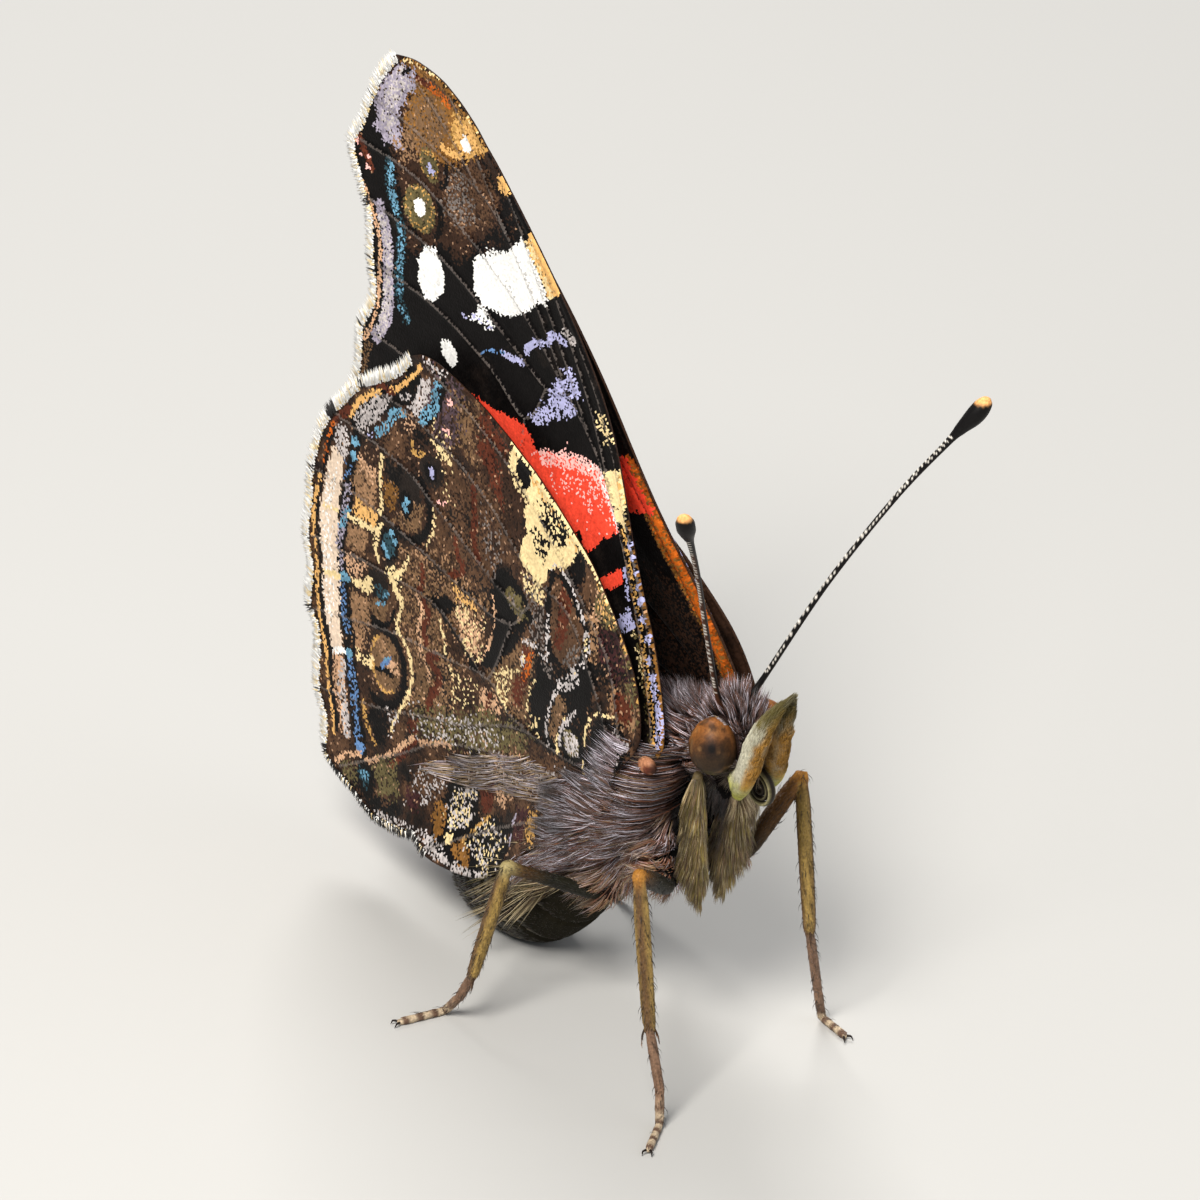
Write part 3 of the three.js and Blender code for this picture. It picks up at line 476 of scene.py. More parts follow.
FOREWING_COSTA = places("""
-.4,.1 .4,-.8 3.5,-1.85 8,-2.62 12.5,-3.65 16,-3.92 20,-3.75 24.9,-3.15 27.1,-2.45 28.7,-1.2 29.5,0
""")
FOREWING_MARGIN = places("""
29.5,0 29.3,1.2 28.8,2.4 28.1,3.7 27.6,4.9 26,5.4 24.6,5.75 23.1,6.85 22,7.45 21.5,8.3 21.1,9.3
19.9,10.4 19.2,11.5 18.6,13
""")
FOREWING_HEM = places("18.6,13 17.6,13.5 14,11.3 9,7.9 4.5,4.8 1.2,2.4 -.2,1.2 -.4,.1")
FOREWING_VEINS = [places(row) for row in """
.6,-.5 4,-1.75 8,-2.45 12,-3.2 15.5,-3.7
.4,0 4,-1.1 8,-1.85 11,-2.1 14.3,-1.7
9.5,-2 14,-2.9 18.4,-3.55
12.5,-2 18,-2.75 22.3,-3.3
14.3,-1.7 18,-2.1 21,-2.1 23,-1.6 25,-.2 27,1.1 28.4,2.2
21,-2.1 24,-2.3 26.8,-2.3
23,-1.6 25.8,-1.2 28.6,-.4
14.3,-1.7 18,-1.05 21,0 24.8,1.8 27.4,4.2
14.3,-1.7 14.9,-.5 17.1,.45 19.9,1.6 22,2.7 25.2,5.2
14.9,-.5 14.3,1.5 16.8,2.3 20.1,4.1 22.9,6.6
.3,.5 5,1.2 9.8,2.5 12.6,2.9 14.3,1.5
12.6,2.9 16,4.9 19,7.2 20.9,9
9.8,2.5 13,5.2 16.5,8.6 19,11
.4,1.1 6,4.4 12,8.7 17.7,12.7
""".strip().splitlines()]
HINDWING_COSTA = places("""
-1.2,-1 -1.7,-2.4 -.7,-4.9 2,-7.65 4,-8.9 6.7,-10.45 9.4,-11.8 12,-12.75 13.4,-12.95 14.3,-12.6
""")
HINDWING_MARGIN = places("""
14.3,-12.6 15.2,-11.7 17.5,-10.35 18.6,-9.3 19.6,-8.2 20.3,-7 20.85,-5.1 20.9,-3.9 21.2,-2.2 20.9,-.7
21.1,.9 20.5,2.2 20.6,4.5 20.1,6 20,7.7 18,8.75 16.8,9.3 15.2,9.05 13.5,8.6
""")
HINDWING_HEM = places("13.5,8.6 12.3,9.05 10.3,8.9 8.5,8.35 7.2,7.3 5,5.4 3,4 .9,2.4 -.6,.4 -1.2,-1")
HINDWING_VEINS = [places(row) for row in """
-.6,-1.4 .6,-4.2 2.2,-5.8 4.2,-7.3 6.7,-9.1 9.7,-10.95 13.2,-12.5
-.2,-.8 1.5,-3.2 3.5,-5.4 5.6,-6 7.1,-6.6 9,-7.9 11.8,-9.3 15,-10.2 17.1,-10.3
5.6,-6 6.5,-4.4 8.3,-4.7 9.9,-5.3 12.8,-6.7 15,-7.7 19.2,-8.4
6.5,-4.4 7.3,-3.5 9.5,-3.4 13,-4.2 17.5,-5.2 20.5,-5.4
7.3,-3.5 8.9,-.4 10.2,-1 12.5,-2.2 15.6,-2.4 20.8,-2.25
-.2,0 3,.7 7.1,.6 8.9,-.4 11.8,-.1 15,.1 17.5,.5 20.7,1.1
5.5,.7 7.4,1.1 10.8,2.5 13.1,3.1 16.4,4 20.2,4.6
.6,1.2 6,2.2 11.8,3.8 15,5.6 19,7.8
1.6,2.4 6,4.8 10,7.2 12.2,8.6
""".strip().splitlines()]


# Marks on the wings. Each names its kind, colour, the share of scales that take it, its size and its places.

MARK_KINDS = ("patch", "stroke", "spot", "ring")
MARK_SOFTNESS = 0.07
MARK_BORDER = 0.8


def marks(text):
    """Reads marks written as words; each starts with its kind, and a # line says where the next ones lie."""
    found = []
    for line in text.splitlines():
        if line.startswith("#"):
            continue
        for word in line.split():
            if word in MARK_KINDS:
                found.append([])
            found[-1].append(word)
    return [(kind, colour, float(share), numbers(size), [numbers(place) for place in places])
            for kind, colour, share, size, *places in found]


FOREWING_UNDER = marks("""
# base and cell
stroke soot .9 .6 0,.6 5,.6 9,1.6
stroke olive .45 .14 .4,0 1.6,-.2 3.4,-.75 4.6,-.9
stroke cream .28 .16 2.6,-.4 3.6,-.7 4.6,-.8
stroke gold_brown .85 .05 .2,.1 3,-.75 5,-1.25 8.4,-2
stroke gold .5 .12 .2,-.1 2.2,-.7 5,-1.45 8.4,-2.15
stroke gold_brown .9 .09 -.3,-.3 .6,-.85 2,-1.4 3.5,-1.8 6,-2.3 8.6,-2.75
stroke gold_brown .8 .14 -.4,.2 -.1,-.4 .6,-.75 1.6,-1.15
stroke lilac .6 .24 .3,-.45 1.2,-.85 2.3,-1.1
spot lilac .95 .17,.27 2.7,-1.2 3.35,-1.38 4.15,-1.58 4.9,-1.76 5.6,-1.9
spot lilac .95 .14,.2 6.15,-2.02 6.7,-2.15 7.25,-2.25 7.75,-2.35
patch lilac .9 .12 4.75,-.95 5.6,-1.05 5.5,-.05 4.95,.05
patch red 1 .08 6.6,-1.15 7.15,-1.25 7.25,.3 6.8,.4 6.55,-.1
stroke lilac .8 .1 5.9,-1.15 6.5,-1.3 7.1,-1.5
# red band and costal cream
patch red 1 .1 8.5,-1.8 9.5,-2 11,-2 11.5,-1.2 12,-.4 12.5,.6 13,1.6 13.8,1.6 14.3,1.9 15.1,2.9 16.3,4.2
  18,6.5 16.4,6.6 13.6,4.6 11,2.6 8.6,.9 8.35,.5 8.55,-.6
stroke pink .55 .22 8.7,-1.8 10,-1.85 10.9,-1.75
stroke white .35 .16 8.9,-1.85 10.9,-1.85 11.3,-1.3
stroke pink .65 .35 11,-1.6 11.6,-.8 12.2,.4 12.6,1.3
patch pink .24 .8 9.2,-1.6 11.3,-1.2 12.6,1.4 11.2,1 9.8,-.2
spot black 1 .34,.16 9,.78
patch cream .97 .1 8.2,-2.35 9,-2.75 9.8,-3.15 10.5,-3.4 10.7,-2.7 10.95,-2.05 8.9,-2
patch amber .5 .2 9.2,-3 10.4,-3.3 10.5,-2.9 9.4,-2.6
patch cream .45 .25 11.7,-3.5 12.8,-3.6 12.9,-2.9 11.9,-2.8
# lilac and blue clouds on the black
patch lilac .65 .2 13.9,-2.5 15,-2.5 15.2,-2 14,-1.9
patch lilac .85 .25 13.5,-1.6 14.8,-1.7 14.9,-.9 14.3,-.5 13.5,-.9
patch lilac .75 .22 13.6,-.7 14.4,-.6 14.3,1.2 13.9,1.2
stroke silver .7 .2 16,-3.4 16.4,-3.1
stroke lilac .8 .18 16.1,-2.8 16.6,-2.3 16.4,-1.8
stroke lilac .85 .15 16.5,-1.4 16.7,-.8 16.6,-.2
stroke lilac .9 .14 16.3,.3 16.6,.75 17,1.2
stroke blue .6 .07 17,1.2 17.3,1.8 17.5,2.4
# white bar and its costal cream
patch amber .97 .1 17.8,-3.95 20.5,-3.9 20.3,-3.1 17.9,-3
patch cream .7 .2 17.9,-3.3 20.2,-3.35 20.3,-3 17.9,-2.9
patch white 1 .08 17.6,-2.7 18,-2.95 19.5,-3.05 20.6,-2.95 20.4,-2.3 20.4,-1.6 20.65,-.6 20.8,.4
  20.4,.95 19.8,1.35 19,1.05 18.4,.5 18,-.4 17.9,-1.5 18,-2.2
stroke white .75 .25 20.7,-.8 20.75,-.2 20.6,.5
patch white .85 .18 18.1,1.1 19.1,1.15 19,1.7 18.9,2.25 18.5,1.8
stroke lilac .4 .1 18.2,1.3 18.8,1.9 19.1,2.6
# brown outer part
patch umber 1 .35 21,-3.2 24.5,-3.3 28,-2 29.4,0 28.6,2.4 26,2.7 24.6,3.2 23.2,3.9 22.4,4.2 22.2,2.4
  21.2,1.5 20.9,0 20.9,-1.5
patch brown .8 .4 22,-2.4 24.2,-2.4 24.4,.4 23,1.2 21.8,.6 21.6,-1
patch grey .5 .4 22.2,-.6 23.8,-.8 24.2,.2 23.2,1 22.2,.6
patch black .85 .3 20.9,-3.7 22.1,-3.6 22.3,-2.8 21.5,-1.8 21.2,.4 20.9,.6
stroke black .5 .12 22,-2.7 24,-2.6 24.2,-2.9
patch amber .9 .12 22.2,-3.55 23,-3.6 23.1,-3.05 22.6,-2.85 22.3,-3.1
patch gold_brown 1 .4 24.2,-3.3 27,-2.7 28.9,-1.1 28.9,-.2 28.2,.2 27,1.2 25.6,1 24.6,-.2
patch bronze .8 .35 25.6,-1.6 27.4,-1.2 27.6,.4 26.4,1.4 25.2,.4
stroke brown .7 .14 25.9,-2.5 27,-2 28,-1.2
stroke orange .6 .2 26.6,-2 27.6,-1.3
stroke rust .9 .16 27.7,-1.2 28.2,-.7
patch gold .8 .2 24.2,-3.2 25.6,-2.9 26.2,-2.2 25.7,-1.3 25,-1 24.3,-1.6
patch amber .7 .25 24.3,-2.9 25.4,-2.7 25.7,-2.1 25.2,-1.4 24.6,-1.5
stroke amber .85 .14 24.6,-1.3 24.9,-.8 25.3,-.4
stroke cream .4 .07 25,-3.1 27,-2.55 28.4,-1.35 29.2,-.3
patch grey_lilac .9 .2 27.9,-.4 28.5,-.7 29.1,.1 28.9,1.4 28.5,2.4 27.8,2.7 27.6,3.6 26.8,3.1 26.2,2
  27.2,1.4 27.7,.5
patch silver .5 .3 28.1,-.1 28.9,.1 28.7,1.4 27.6,2.4 26.8,2.3 27.8,1.2
patch tan .5 .3 25.4,1.2 26.8,1.2 26.6,2.2 25.6,2.4
spot black .95 .12,.3 28.65,-.25
spot white 1 .3,.26 24.85,-2
spot olive .9 .7,.5 25,.8
ring gold .3 .5,.1 25,.8
spot lilac .98 .26,.2 24.85,.85
stroke black .85 .14 24.6,-.1 24.1,.2 24,.7
spot olive 1 1,.95 23.75,2.45
ring gold .3 .8,.14 23.75,2.45
stroke black .95 .16 22.4,2.2 22.8,1.5 23.5,1.2
stroke black .6 .12 22.9,3.3 23.8,3.6 24.8,3.2
spot white 1 .38,.34 23.8,2.4
patch white 1 .07 20.2,4 20.4,3.2 21,2.65 22,2.5 22.35,3.1 22.05,3.9 21.2,4.45 20.5,4.45
spot white 1 .55,.42 18.15,4.4
# blue line, dark patch and margin
patch black 1 .15 23.6,4.1 25.9,3.2 26.6,2.8 28.1,3.1 28,4.9 26,5.3 24.4,4.7
stroke teal .5 .28 20.2,6.1 21.2,6 22.4,5 23.4,4.1 25,3.75 26,3.1
stroke turquoise .6 .14 20.2,6.1 20.8,6.25
stroke turquoise .42 .2 21.3,5.85 22.2,5.1 23,4.4 23.6,4.05
stroke turquoise .5 .22 24.2,3.9 25,3.65 25.9,3.1
stroke rust .9 .2 26.2,4.3 27.6,4.2
spot pink .9 .12,.1 26.3,4.5 26.9,4.6 27.5,4.4 26.6,4.15
stroke grey_lilac .9 .32 20.35,8.4 20.8,7.2 21.8,6.35 22.8,5.6 23.8,5.05 24.7,4.8
stroke silver .55 .26 20.4,8.2 20.9,7.2 21.8,6.4 22.8,5.6 24.2,4.95
stroke peach .8 .12 20.5,9.3 21.2,7.75 22.4,6.6 23.6,5.7 24.8,5.3 26,5.2
stroke black .95 .1 20.75,9.5 21.4,8 22.6,6.9 23.8,6 25,5.55 27.4,5.05
stroke bronze .6 .2 19.4,10.4 20.2,9.2
""")
FOREWING_UPPER = marks("""
patch umber .5 .9 -.5,0 6,-1 8,4 3,4
stroke umber 1 .5 .2,-.2 3.5,-1.3 8,-2.1 9.8,-2.5
stroke gold_brown 1 .46 .2,-.3 3.5,-1.35 8,-2.1 10.2,-2.6
stroke orange .75 .36 .6,-.4 3.5,-1.35 8,-2.1 10.6,-2.75
patch red 1 .12 8.4,-2.4 10.9,-2.7 12.5,-1 14.5,1.6 16.8,4 19.2,7 20.7,9.2 19.7,10.2 17.6,8.4 14.6,5
  12.2,2.4 10,.2
patch white 1 .12 17.9,-3.6 17.6,-2 17.9,.4 18.9,1.2 20.6,.9 20.7,-1 20.5,-3.4
spot white 1 .3,.3 24.85,-2 24.85,.5 23.8,2.3
spot white 1 .5,.6 21.3,3.5
stroke blue .5 .14 24.2,5 26.4,4.6
""")
HINDWING_UNDER = marks("""
# ground by zones
patch umber .9 .4 7,-10.4 9.8,-11.9 10.4,-10.6 9.4,-9 8.4,-7.4 7.2,-7
patch purple .7 .5 11.2,-12.3 13,-12.6 13,-10 12.4,-9.4 11,-10
patch bronze .8 .5 10.2,-11.8 11.2,-11.6 11.4,-9.8 10.2,-9.4
patch brown .6 .5 8.3,-8.6 12,-8.8 12.4,-6.4 12.6,-4.8 9.4,-3.4 8.8,-5
patch grey .4 .5 8.4,-7 9.6,-7.4 9.4,-5.6 8.6,-5.2
patch tan .22 .45 9.2,-4 13,-5 15,-4.2 14.6,3 13,3 11.4,2.4 11.6,0 9.2,-.8
patch bronze .45 .6 9.2,-3.6 15,-3.6 14.2,3 11.6,2.8
patch umber .85 .4 12.8,-9.8 14.4,-9.9 16.2,-8.2 16.4,-5.2 14,-4.4 12.8,-5
patch brown .9 .35 14.3,-9.2 15.4,-9 16.2,-8.2 15.4,-7.8 14.6,-8.1
patch peach .5 .25 14,-10.1 14.8,-9.9 14.7,-9.3 14.1,-9.4
patch grey .35 .5 5,-5.9 6.4,-6 6.4,-3.4 5,-3.2
patch bronze .7 .4 5.6,-3.1 7.4,-2.9 9.2,-.8 8.2,.7 6.2,.5 5.9,-1.4
patch black .85 .5 1.4,-4.4 3,-3.4 5.4,-3.2 6,.8 1.6,.9
patch olive .5 .4 -1.8,-2.6 -1.2,-4.6 .4,-6.2 .6,-5.6 -.4,-4 -.6,-2.6
patch black .7 .4 -.5,-4.4 .4,-5.9 1.5,-5.8 1.6,-3.6 .6,-3.2
patch plum .7 .3 -.5,-4.4 .2,-5.8 1.5,-5.8 1.6,-4.6 .6,-3.8
stroke gold .35 .14 -1.5,-3.6 -.9,-4.7 .1,-5.9
patch tan .75 .25 1.6,-7.1 2.2,-6.4 2.6,-6 2.1,-4.6 1.9,-3.2 1.5,-3.1 1.6,-5
patch peach .4 .2 1.2,-7 2,-7.3 2.4,-6.2 1.8,-5.6
patch tan .8 .3 -1.3,-3.3 .4,-3.6 .5,-2.6 0,-2.1 -1.3,-2.3
patch rust 1 .2 -1,-3.4 .1,-3.4 .1,-2.6 -.8,-2.5
patch black .95 .3 -1.4,-2 .1,-2.3 1.6,-1.8 1.9,.8 .2,.9 -1.2,-.4
patch silver .3 .2 -1.3,-1.9 0,-2.1 .4,-1.2 -1,-.9
# costal cream with its black specks
patch olive .7 .3 .3,-6.4 2,-7.7 2.2,-6.6 1.4,-5.8
patch amber .35 .3 .7,-6.4 2,-7.6 2,-6.8 1.3,-6.1
patch brown .95 .15 1.9,-7.6 2.9,-7.9 3,-6.5 2.2,-6.1
patch cream 1 .1 3.1,-8.35 6.7,-10.45 7.8,-11 8.15,-10.4 7.9,-10 6.8,-9 6.95,-8.4 6.8,-7.6 7,-6.9
  6.9,-6.3 6.2,-6.1 5.5,-5.85 5.3,-6.2 4.9,-6.9 4.2,-7.1 3.7,-7.6
stroke amber .4 .2 3.6,-8.2 6,-9.6 7.6,-10.6
patch black 1 .12 6.7,-10.35 7.6,-10.85 7.65,-9.9 7.1,-9.4 6.8,-9.6
patch black .95 .12 2.95,-8.2 3.5,-8.35 3.75,-7.5 4,-6.9 3.3,-6.7 2.85,-7
patch black .68 .16 4,-8.9 5.4,-9.5 6.2,-9.2 5.7,-8.4 4.9,-7.9 4.3,-8
patch black .62 .16 5.1,-7.7 6.4,-8.3 6.5,-7.6 5.9,-7 5.5,-6.9
stroke cream .85 .07 .6,-6.5 2,-7.6 3.2,-8.45 5,-9.4 6.7,-10.4 8,-11.1
stroke cream .6 .06 6.9,-8.9 7.7,-9.5 8.1,-10.2
# cell: a brown oval with pale rims
patch black 1 .12 2.2,-5.2 2.9,-6 3.6,-6.6 4.5,-7 5.1,-6.7 5.15,-5.2 4.95,-3.6 4.6,-3 3.6,-2.9 2.6,-3.2
  2.2,-4.2
patch brown 1 .12 2.5,-5 3.1,-5.7 3.8,-6.3 4.5,-6.7 4.8,-6.2 4.75,-4.8 4.5,-3.5 3.6,-3.1 2.8,-3.5
  2.5,-4.3
patch grey .6 .2 2.7,-4.3 3.4,-4.1 3.8,-3.3 3.2,-3.2 2.8,-3.6
patch rust .9 .15 3.5,-6 4.2,-6.5 4.2,-5 4.4,-3.7 3.8,-3.9 3.6,-5
stroke silver .8 .06 2.6,-5.5 3.5,-6.5 4.5,-7.1 5,-6.9
stroke silver .5 .18 2.3,-5 2.25,-4.3 2.5,-3.6 3,-3.2
stroke cream .4 .14 2.35,-4.9 2.3,-4.2 2.6,-3.5 2.9,-3.2
stroke silver .5 .12 4.85,-4.9 4.85,-3.9 4.75,-3.2 5,-3
stroke silver .6 .08 5,-3 5.7,-3.2 6.5,-3.1
patch cream .45 .2 5.2,-5.7 6.7,-5.9 6.6,-5.3 5.4,-5.1
# dark bands and the ring spot near the base
patch black 1 .2 1.5,-4.1 2.3,-4.2 2.7,-3.2 3.2,-2.6 2.9,-1.6 2.1,-1.3 1.6,-2.4
patch black 1 .15 4.2,-2.8 5.3,-2.9 5.5,-2 6,-.9 5.9,.6 5,.7 4.9,-.4 4.5,-1.4
patch grey .5 .2 4.5,-2.8 5,-2.8 4.9,-2.2 4.5,-2.2
patch bronze .85 .15 3.2,-1.7 3.9,-1.9 4.3,-1 4.5,.2 4,.3 3.7,-.6
stroke silver .7 .1 3,-2.6 3.9,-2.2 4.4,-1.2 4.7,-.2 4.6,.6
stroke cream .6 .1 3.4,-.9 3.8,-.1 3.9,.6
stroke cream .5 .08 5.4,-1.9 6,-1 6.15,.2
patch cream .35 .2 5.3,-.2 5.9,-.2 5.8,.6 5.3,.6
stroke cream .75 .08 .1,-2.5 1.2,-2.15 1.7,-1.7 1.95,-.8 2,.8
spot black 1 .95,.9 2.9,-.1
spot olive .7 .66,.55 2.9,-.1
spot silver .75 .58,.5 2.85,-.1
stroke silver .7 .1 2.7,-1.6 3.1,-1.1 3.6,-.5 3.75,.3
patch silver .34 .25 2.7,-3.2 3.4,-3.1 4.1,-2.4 3.6,-2 2.9,-2.6
# brown field between cell and chevron
patch rust .9 .15 5.8,-2.9 6.5,-2.9 6.6,-1.6 7.2,-1 7.2,.1 6.5,0 6.1,-1.4
stroke orange .4 .2 5.85,-2.7 6.1,-2.1 6.4,-1.6
spot silver .9 .15,.28 6.5,-2.3
stroke cream .6 .1 6.4,-2.4 6.9,-1.6 7.9,-1.2 8.2,-.2 7.6,.5
patch cream .3 .2 6.9,-1.6 8.4,-1.2 8.2,0 7.6,.2
# olive oval ringed black, and the black chevron beyond it
patch black 1 .15 5.8,-4.3 6.5,-5 7.5,-5.7 8.4,-5.6 8.8,-4.8 8.6,-4.4 9.1,-4.3 8.8,-3.7 8.7,-3.1
  7.4,-3.2 6.4,-3.5
patch olive 1 .14 6.25,-4.2 6.8,-4.75 7.5,-5.1 7.9,-4.9 7.6,-4.2 6.8,-3.85
patch grey .3 .2 6.5,-4.3 7.6,-4.9 7.5,-4.3 6.8,-4
patch black 1 .12 6.6,-3.3 7.5,-3.2 8.6,-3.4 8.7,-2.5 9.3,-1.5 9.7,-.6 8.7,-.9 7.6,-1.9
stroke peach .5 .1 8.8,-4.2 8.5,-3.2 8.8,-2.2 9.3,-1.2
# bars and speckles of the middle
patch rust .75 .25 8.4,-11.2 9.8,-11.9 10.1,-11.4 9.4,-10.6 8.4,-10.4
patch rust .8 .22 9,-10.6 10.2,-10.6 10,-9.9 9.4,-9.2 8.8,-8.4 8.3,-8.2 8.5,-9.2
stroke rust .95 .2 10.3,-8.2 10.1,-7.2 10.15,-6.2 9.8,-5.3
stroke umber .9 .16 9,-7.4 8.8,-6.4 8.9,-5.6
stroke rust .95 .14 11.3,-5.6 11.2,-5 10.8,-4.6 11,-4.2 11.5,-4
stroke rust .9 .15 13.5,-3.6 13.4,-3 13.65,-2.5
stroke rust 1 .17 13.4,-2.1 13.05,-1.5 13.35,-.9 13.2,-.2
stroke rust 1 .2 12.5,.1 13,.45 12.3,.9 12.5,1.5 12.9,2.1 13.1,2.7
stroke peach .55 .14 13.7,-2.1 13.4,-1.4 13.7,-.7 13.3,.6 13,1.2 13.5,2.4
patch bronze .9 .25 13.2,.9 14,.9 14,2.4 13.5,2.6 13.1,1.8
patch amber .4 .2 9.7,-3.4 11.4,-3.5 11.3,-2.9 10,-2.8
patch peach .5 .25 9.4,-2.7 11.3,-2.8 11.1,-1.8 10.4,-.7 9.5,-1
patch cream .25 .25 9.3,-2.7 11.3,-2.8 11,-1.6 10.4,-.5 9.4,-.8
patch black .95 .14 11.2,-2.75 12,-2.9 12.8,-2.35 12.6,-2 11.8,-1.9
stroke black .9 .13 12.4,-2.2 11.6,-1.6 10.4,-.75 9.8,-.4
patch umber .85 .2 10.6,-1 12,-1.6 11.9,-.3 10.6,-.4
patch umber .9 .25 9.7,.2 11.2,.1 11.3,2 10.2,1.7 9.8,1
patch cream .14 .3 9.7,.2 11.2,.1 11.3,2 10.2,1.7
patch peach .7 .2 8,.3 9.4,.2 9.6,1.3 8.9,1.4 8,.9
stroke rust .8 .16 8.8,.3 9.1,1.2
stroke cream .65 .08 12.3,-1.6 12,-.9 11.9,-.2 11.4,.6 11.4,1.4 11.3,2.1
stroke cream .6 .08 12.9,-6.6 12.7,-6 12.8,-5.3 13.2,-4.6
stroke cream .85 .1 14.35,-3.6 14.7,-3 15.2,-2.4 15.35,-2 14.8,-1.5 14.9,-.9 15.1,-.2 14.4,.6 14.15,1.4
  14.3,2.4 14.8,3.4 15.3,4.2 15.6,4.8
patch cream .55 .2 15,-2.9 15.9,-2.6 15.6,-2 15,-1.6 14.8,-2.2
patch cream .16 .5 11.6,-9.4 13.2,-10.6 12.6,-8.6 11.9,-6.8
stroke cream .75 .1 11.8,-8.8 12.3,-9.15 13,-9.4
stroke pink .6 .12 11.9,-6.9 12.4,-6.85
spot pink .7 .22,.14 12,-10.15 11.8,-11.4
# eyespots
patch black .85 .25 13.1,-9.7 13.9,-9.5 13.9,-9 13.3,-9.1
spot soot .95 .75,.7 12.9,-8
spot black 1 .4,.42 12.95,-7.95
spot lilac 1 .16,.22 12.88,-7.95
stroke gold .8 .1 13.45,-8.6 13.9,-8.4 14.2,-8.9
patch soot 1 .2 13.8,-7.5 15.4,-7.5 15.9,-6.6 15.2,-5.8 14.2,-5.6 13.4,-6.4
patch black .8 .25 14.6,-7.7 15.8,-7.6 15.8,-6.9 15,-6.6
patch bronze .85 .2 13.3,-6.4 14,-6.1 14.9,-5.6 15.4,-5 14.4,-4.8 13.6,-5.1
patch gold_brown .8 .2 15,-6.5 16,-6.6 16,-5.4 15.3,-5.4
stroke black 1 .19 13.5,-7.4 13.05,-6.6 12.98,-5.8 13.25,-5.1 13.8,-4.65 14.5,-4.5 15.1,-4.55
spot black 1 .42,.6 14.5,-6
spot turquoise 1 .16,.2 14.45,-6.15 14.55,-5.8
stroke cream .8 .1 16.05,-7.6 16.15,-6.6 16.1,-5.8 16.15,-4.9
patch umber .9 .2 16.2,-7.8 17.3,-7.9 17.2,-7 16.3,-6.9
patch tan .95 .2 16.4,-6.7 17.8,-6.9 18,-5.2 16.5,-4.7
patch peach .6 .2 16.4,-6.9 17.5,-7 17.4,-6.4 16.5,-6.2
patch amber .75 .2 16.3,-4.8 17.9,-5 17.9,-4.2 16.4,-4.1
spot black 1 .6,.78 15.6,-3.75
spot teal .9 .4,.55 15.6,-3.75
spot turquoise .95 .14,.14 15.2,-4 15.75,-3.25 15.95,-3.5 15.5,-4.3
stroke cream .85 .11 16.1,-4.5 16.4,-3.9 16.5,-3.3 16.3,-2.8
patch tan 1 .18 17,-3.7 18.3,-3.7 18.5,-2.6 17.2,-2.7
patch peach .7 .25 17,-2.3 18.5,-2.4 18.6,-1.4 17.6,-1.5
patch soot 1 .12 15.6,-1.9 16.2,-2.3 17,-2.1 16.9,-1.4 16.6,-1 15.8,-1
patch teal .8 .15 15.7,-1.6 16.4,-1.6 16.6,-1.1 16,-.9
patch bronze 1 .12 15.6,-.9 16.6,-1 16.9,-.5 16.5,0 15.9,-.05
stroke black .95 .12 15.3,-.9 15.5,-.3 16,.1 16.7,.05
stroke turquoise .9 .07 15.7,-1.5 16,-1.25
stroke turquoise .9 .07 15.95,-.95 16.35,-.75
patch tan .95 .15 17,-.7 18.2,-.8 18.1,1.6 17.2,1.9 16.9,.6
patch umber .6 .2 16.9,.5 17.4,.6 17.4,1.9 17,1.8
spot bronze 1 1,1.35 15.9,1.85
patch tan .6 .2 15.3,1.3 16.2,.8 16.7,1.2 16.2,1.6
patch peach .7 .15 15,1.5 15.7,1.5 15.6,2 15.1,2.1
stroke gold .85 .09 16.3,.7 16.75,1.2 16.8,1.9 16.5,2.7 16,3.1 15.4,2.9
stroke black 1 .2 16.6,.2 15.6,.35 14.95,.8 14.65,1.6 14.75,2.6 15.3,3.4 16.2,3.75 17.2,3.5
stroke black .95 .13 15.5,2.2 16,2.15 16.4,2.25
stroke blue 1 .13 15.65,1.5 15.95,1.75 16.1,1.95
stroke turquoise .7 .06 15.65,1.45 15.95,1.65
patch umber .95 .2 16.9,2.5 17.8,2.5 17.8,3.9 17,3.9
patch black .95 .2 15.9,4 16.9,4 17.1,4.8 16.6,5.7 16,5.6 15.7,4.8
stroke gold .7 .12 17.4,4.1 17.2,5 16.6,5.8
patch silver .4 .2 15.1,3.8 15.8,3.9 15.6,5.2 15.2,4.8
# margin: blue line, pale band, brown line
patch black .7 .2 12,-12.9 13.4,-12.9 12.9,-12.3 12.1,-12
patch silver .4 .2 12,-12.9 13.4,-12.9 12.9,-12.3 12.1,-12.1
stroke black .95 .3 12.3,-12 12.6,-11 13.2,-10.2
stroke black .9 .5 14,-11.8 14.6,-10.9 15.6,-10.3 16.6,-9.6 17.6,-8.7
patch silver .8 .16 12.8,-12.2 13.5,-12 14,-11 14.3,-10.3 13.8,-10.1 13.3,-10.8
patch silver .72 .18 15.5,-10.4 16.3,-10.3 17.1,-9.6 17.9,-8.7 17.4,-8.2 16.4,-8.9 15.8,-9.6
stroke silver .5 .14 14.3,-10.8 15,-10.5
stroke turquoise .6 .26 12.55,-11.9 12.8,-11.3 12.7,-10.9 13.2,-10.5 13.5,-10.1
stroke turquoise .6 .2 14.7,-9.95 15.3,-9.75 15.6,-9.2 16,-8.75 16.5,-8.45
stroke lilac .5 .1 16.6,-8.4 17,-8.2
stroke black .9 .3 17.6,-7.8 17.9,-6.9 18.1,-6.2
spot turquoise .95 .24,.2 17.75,-7.6
spot turquoise 1 .24,.24 17.9,-6.9
patch silver .7 .2 18.1,-7.9 18.8,-7.9 19.1,-7 18.9,-6.5 18.3,-6.7
patch blue .5 .2 18,-6.4 18.5,-6.5 18.4,-5.5 18.1,-5.6
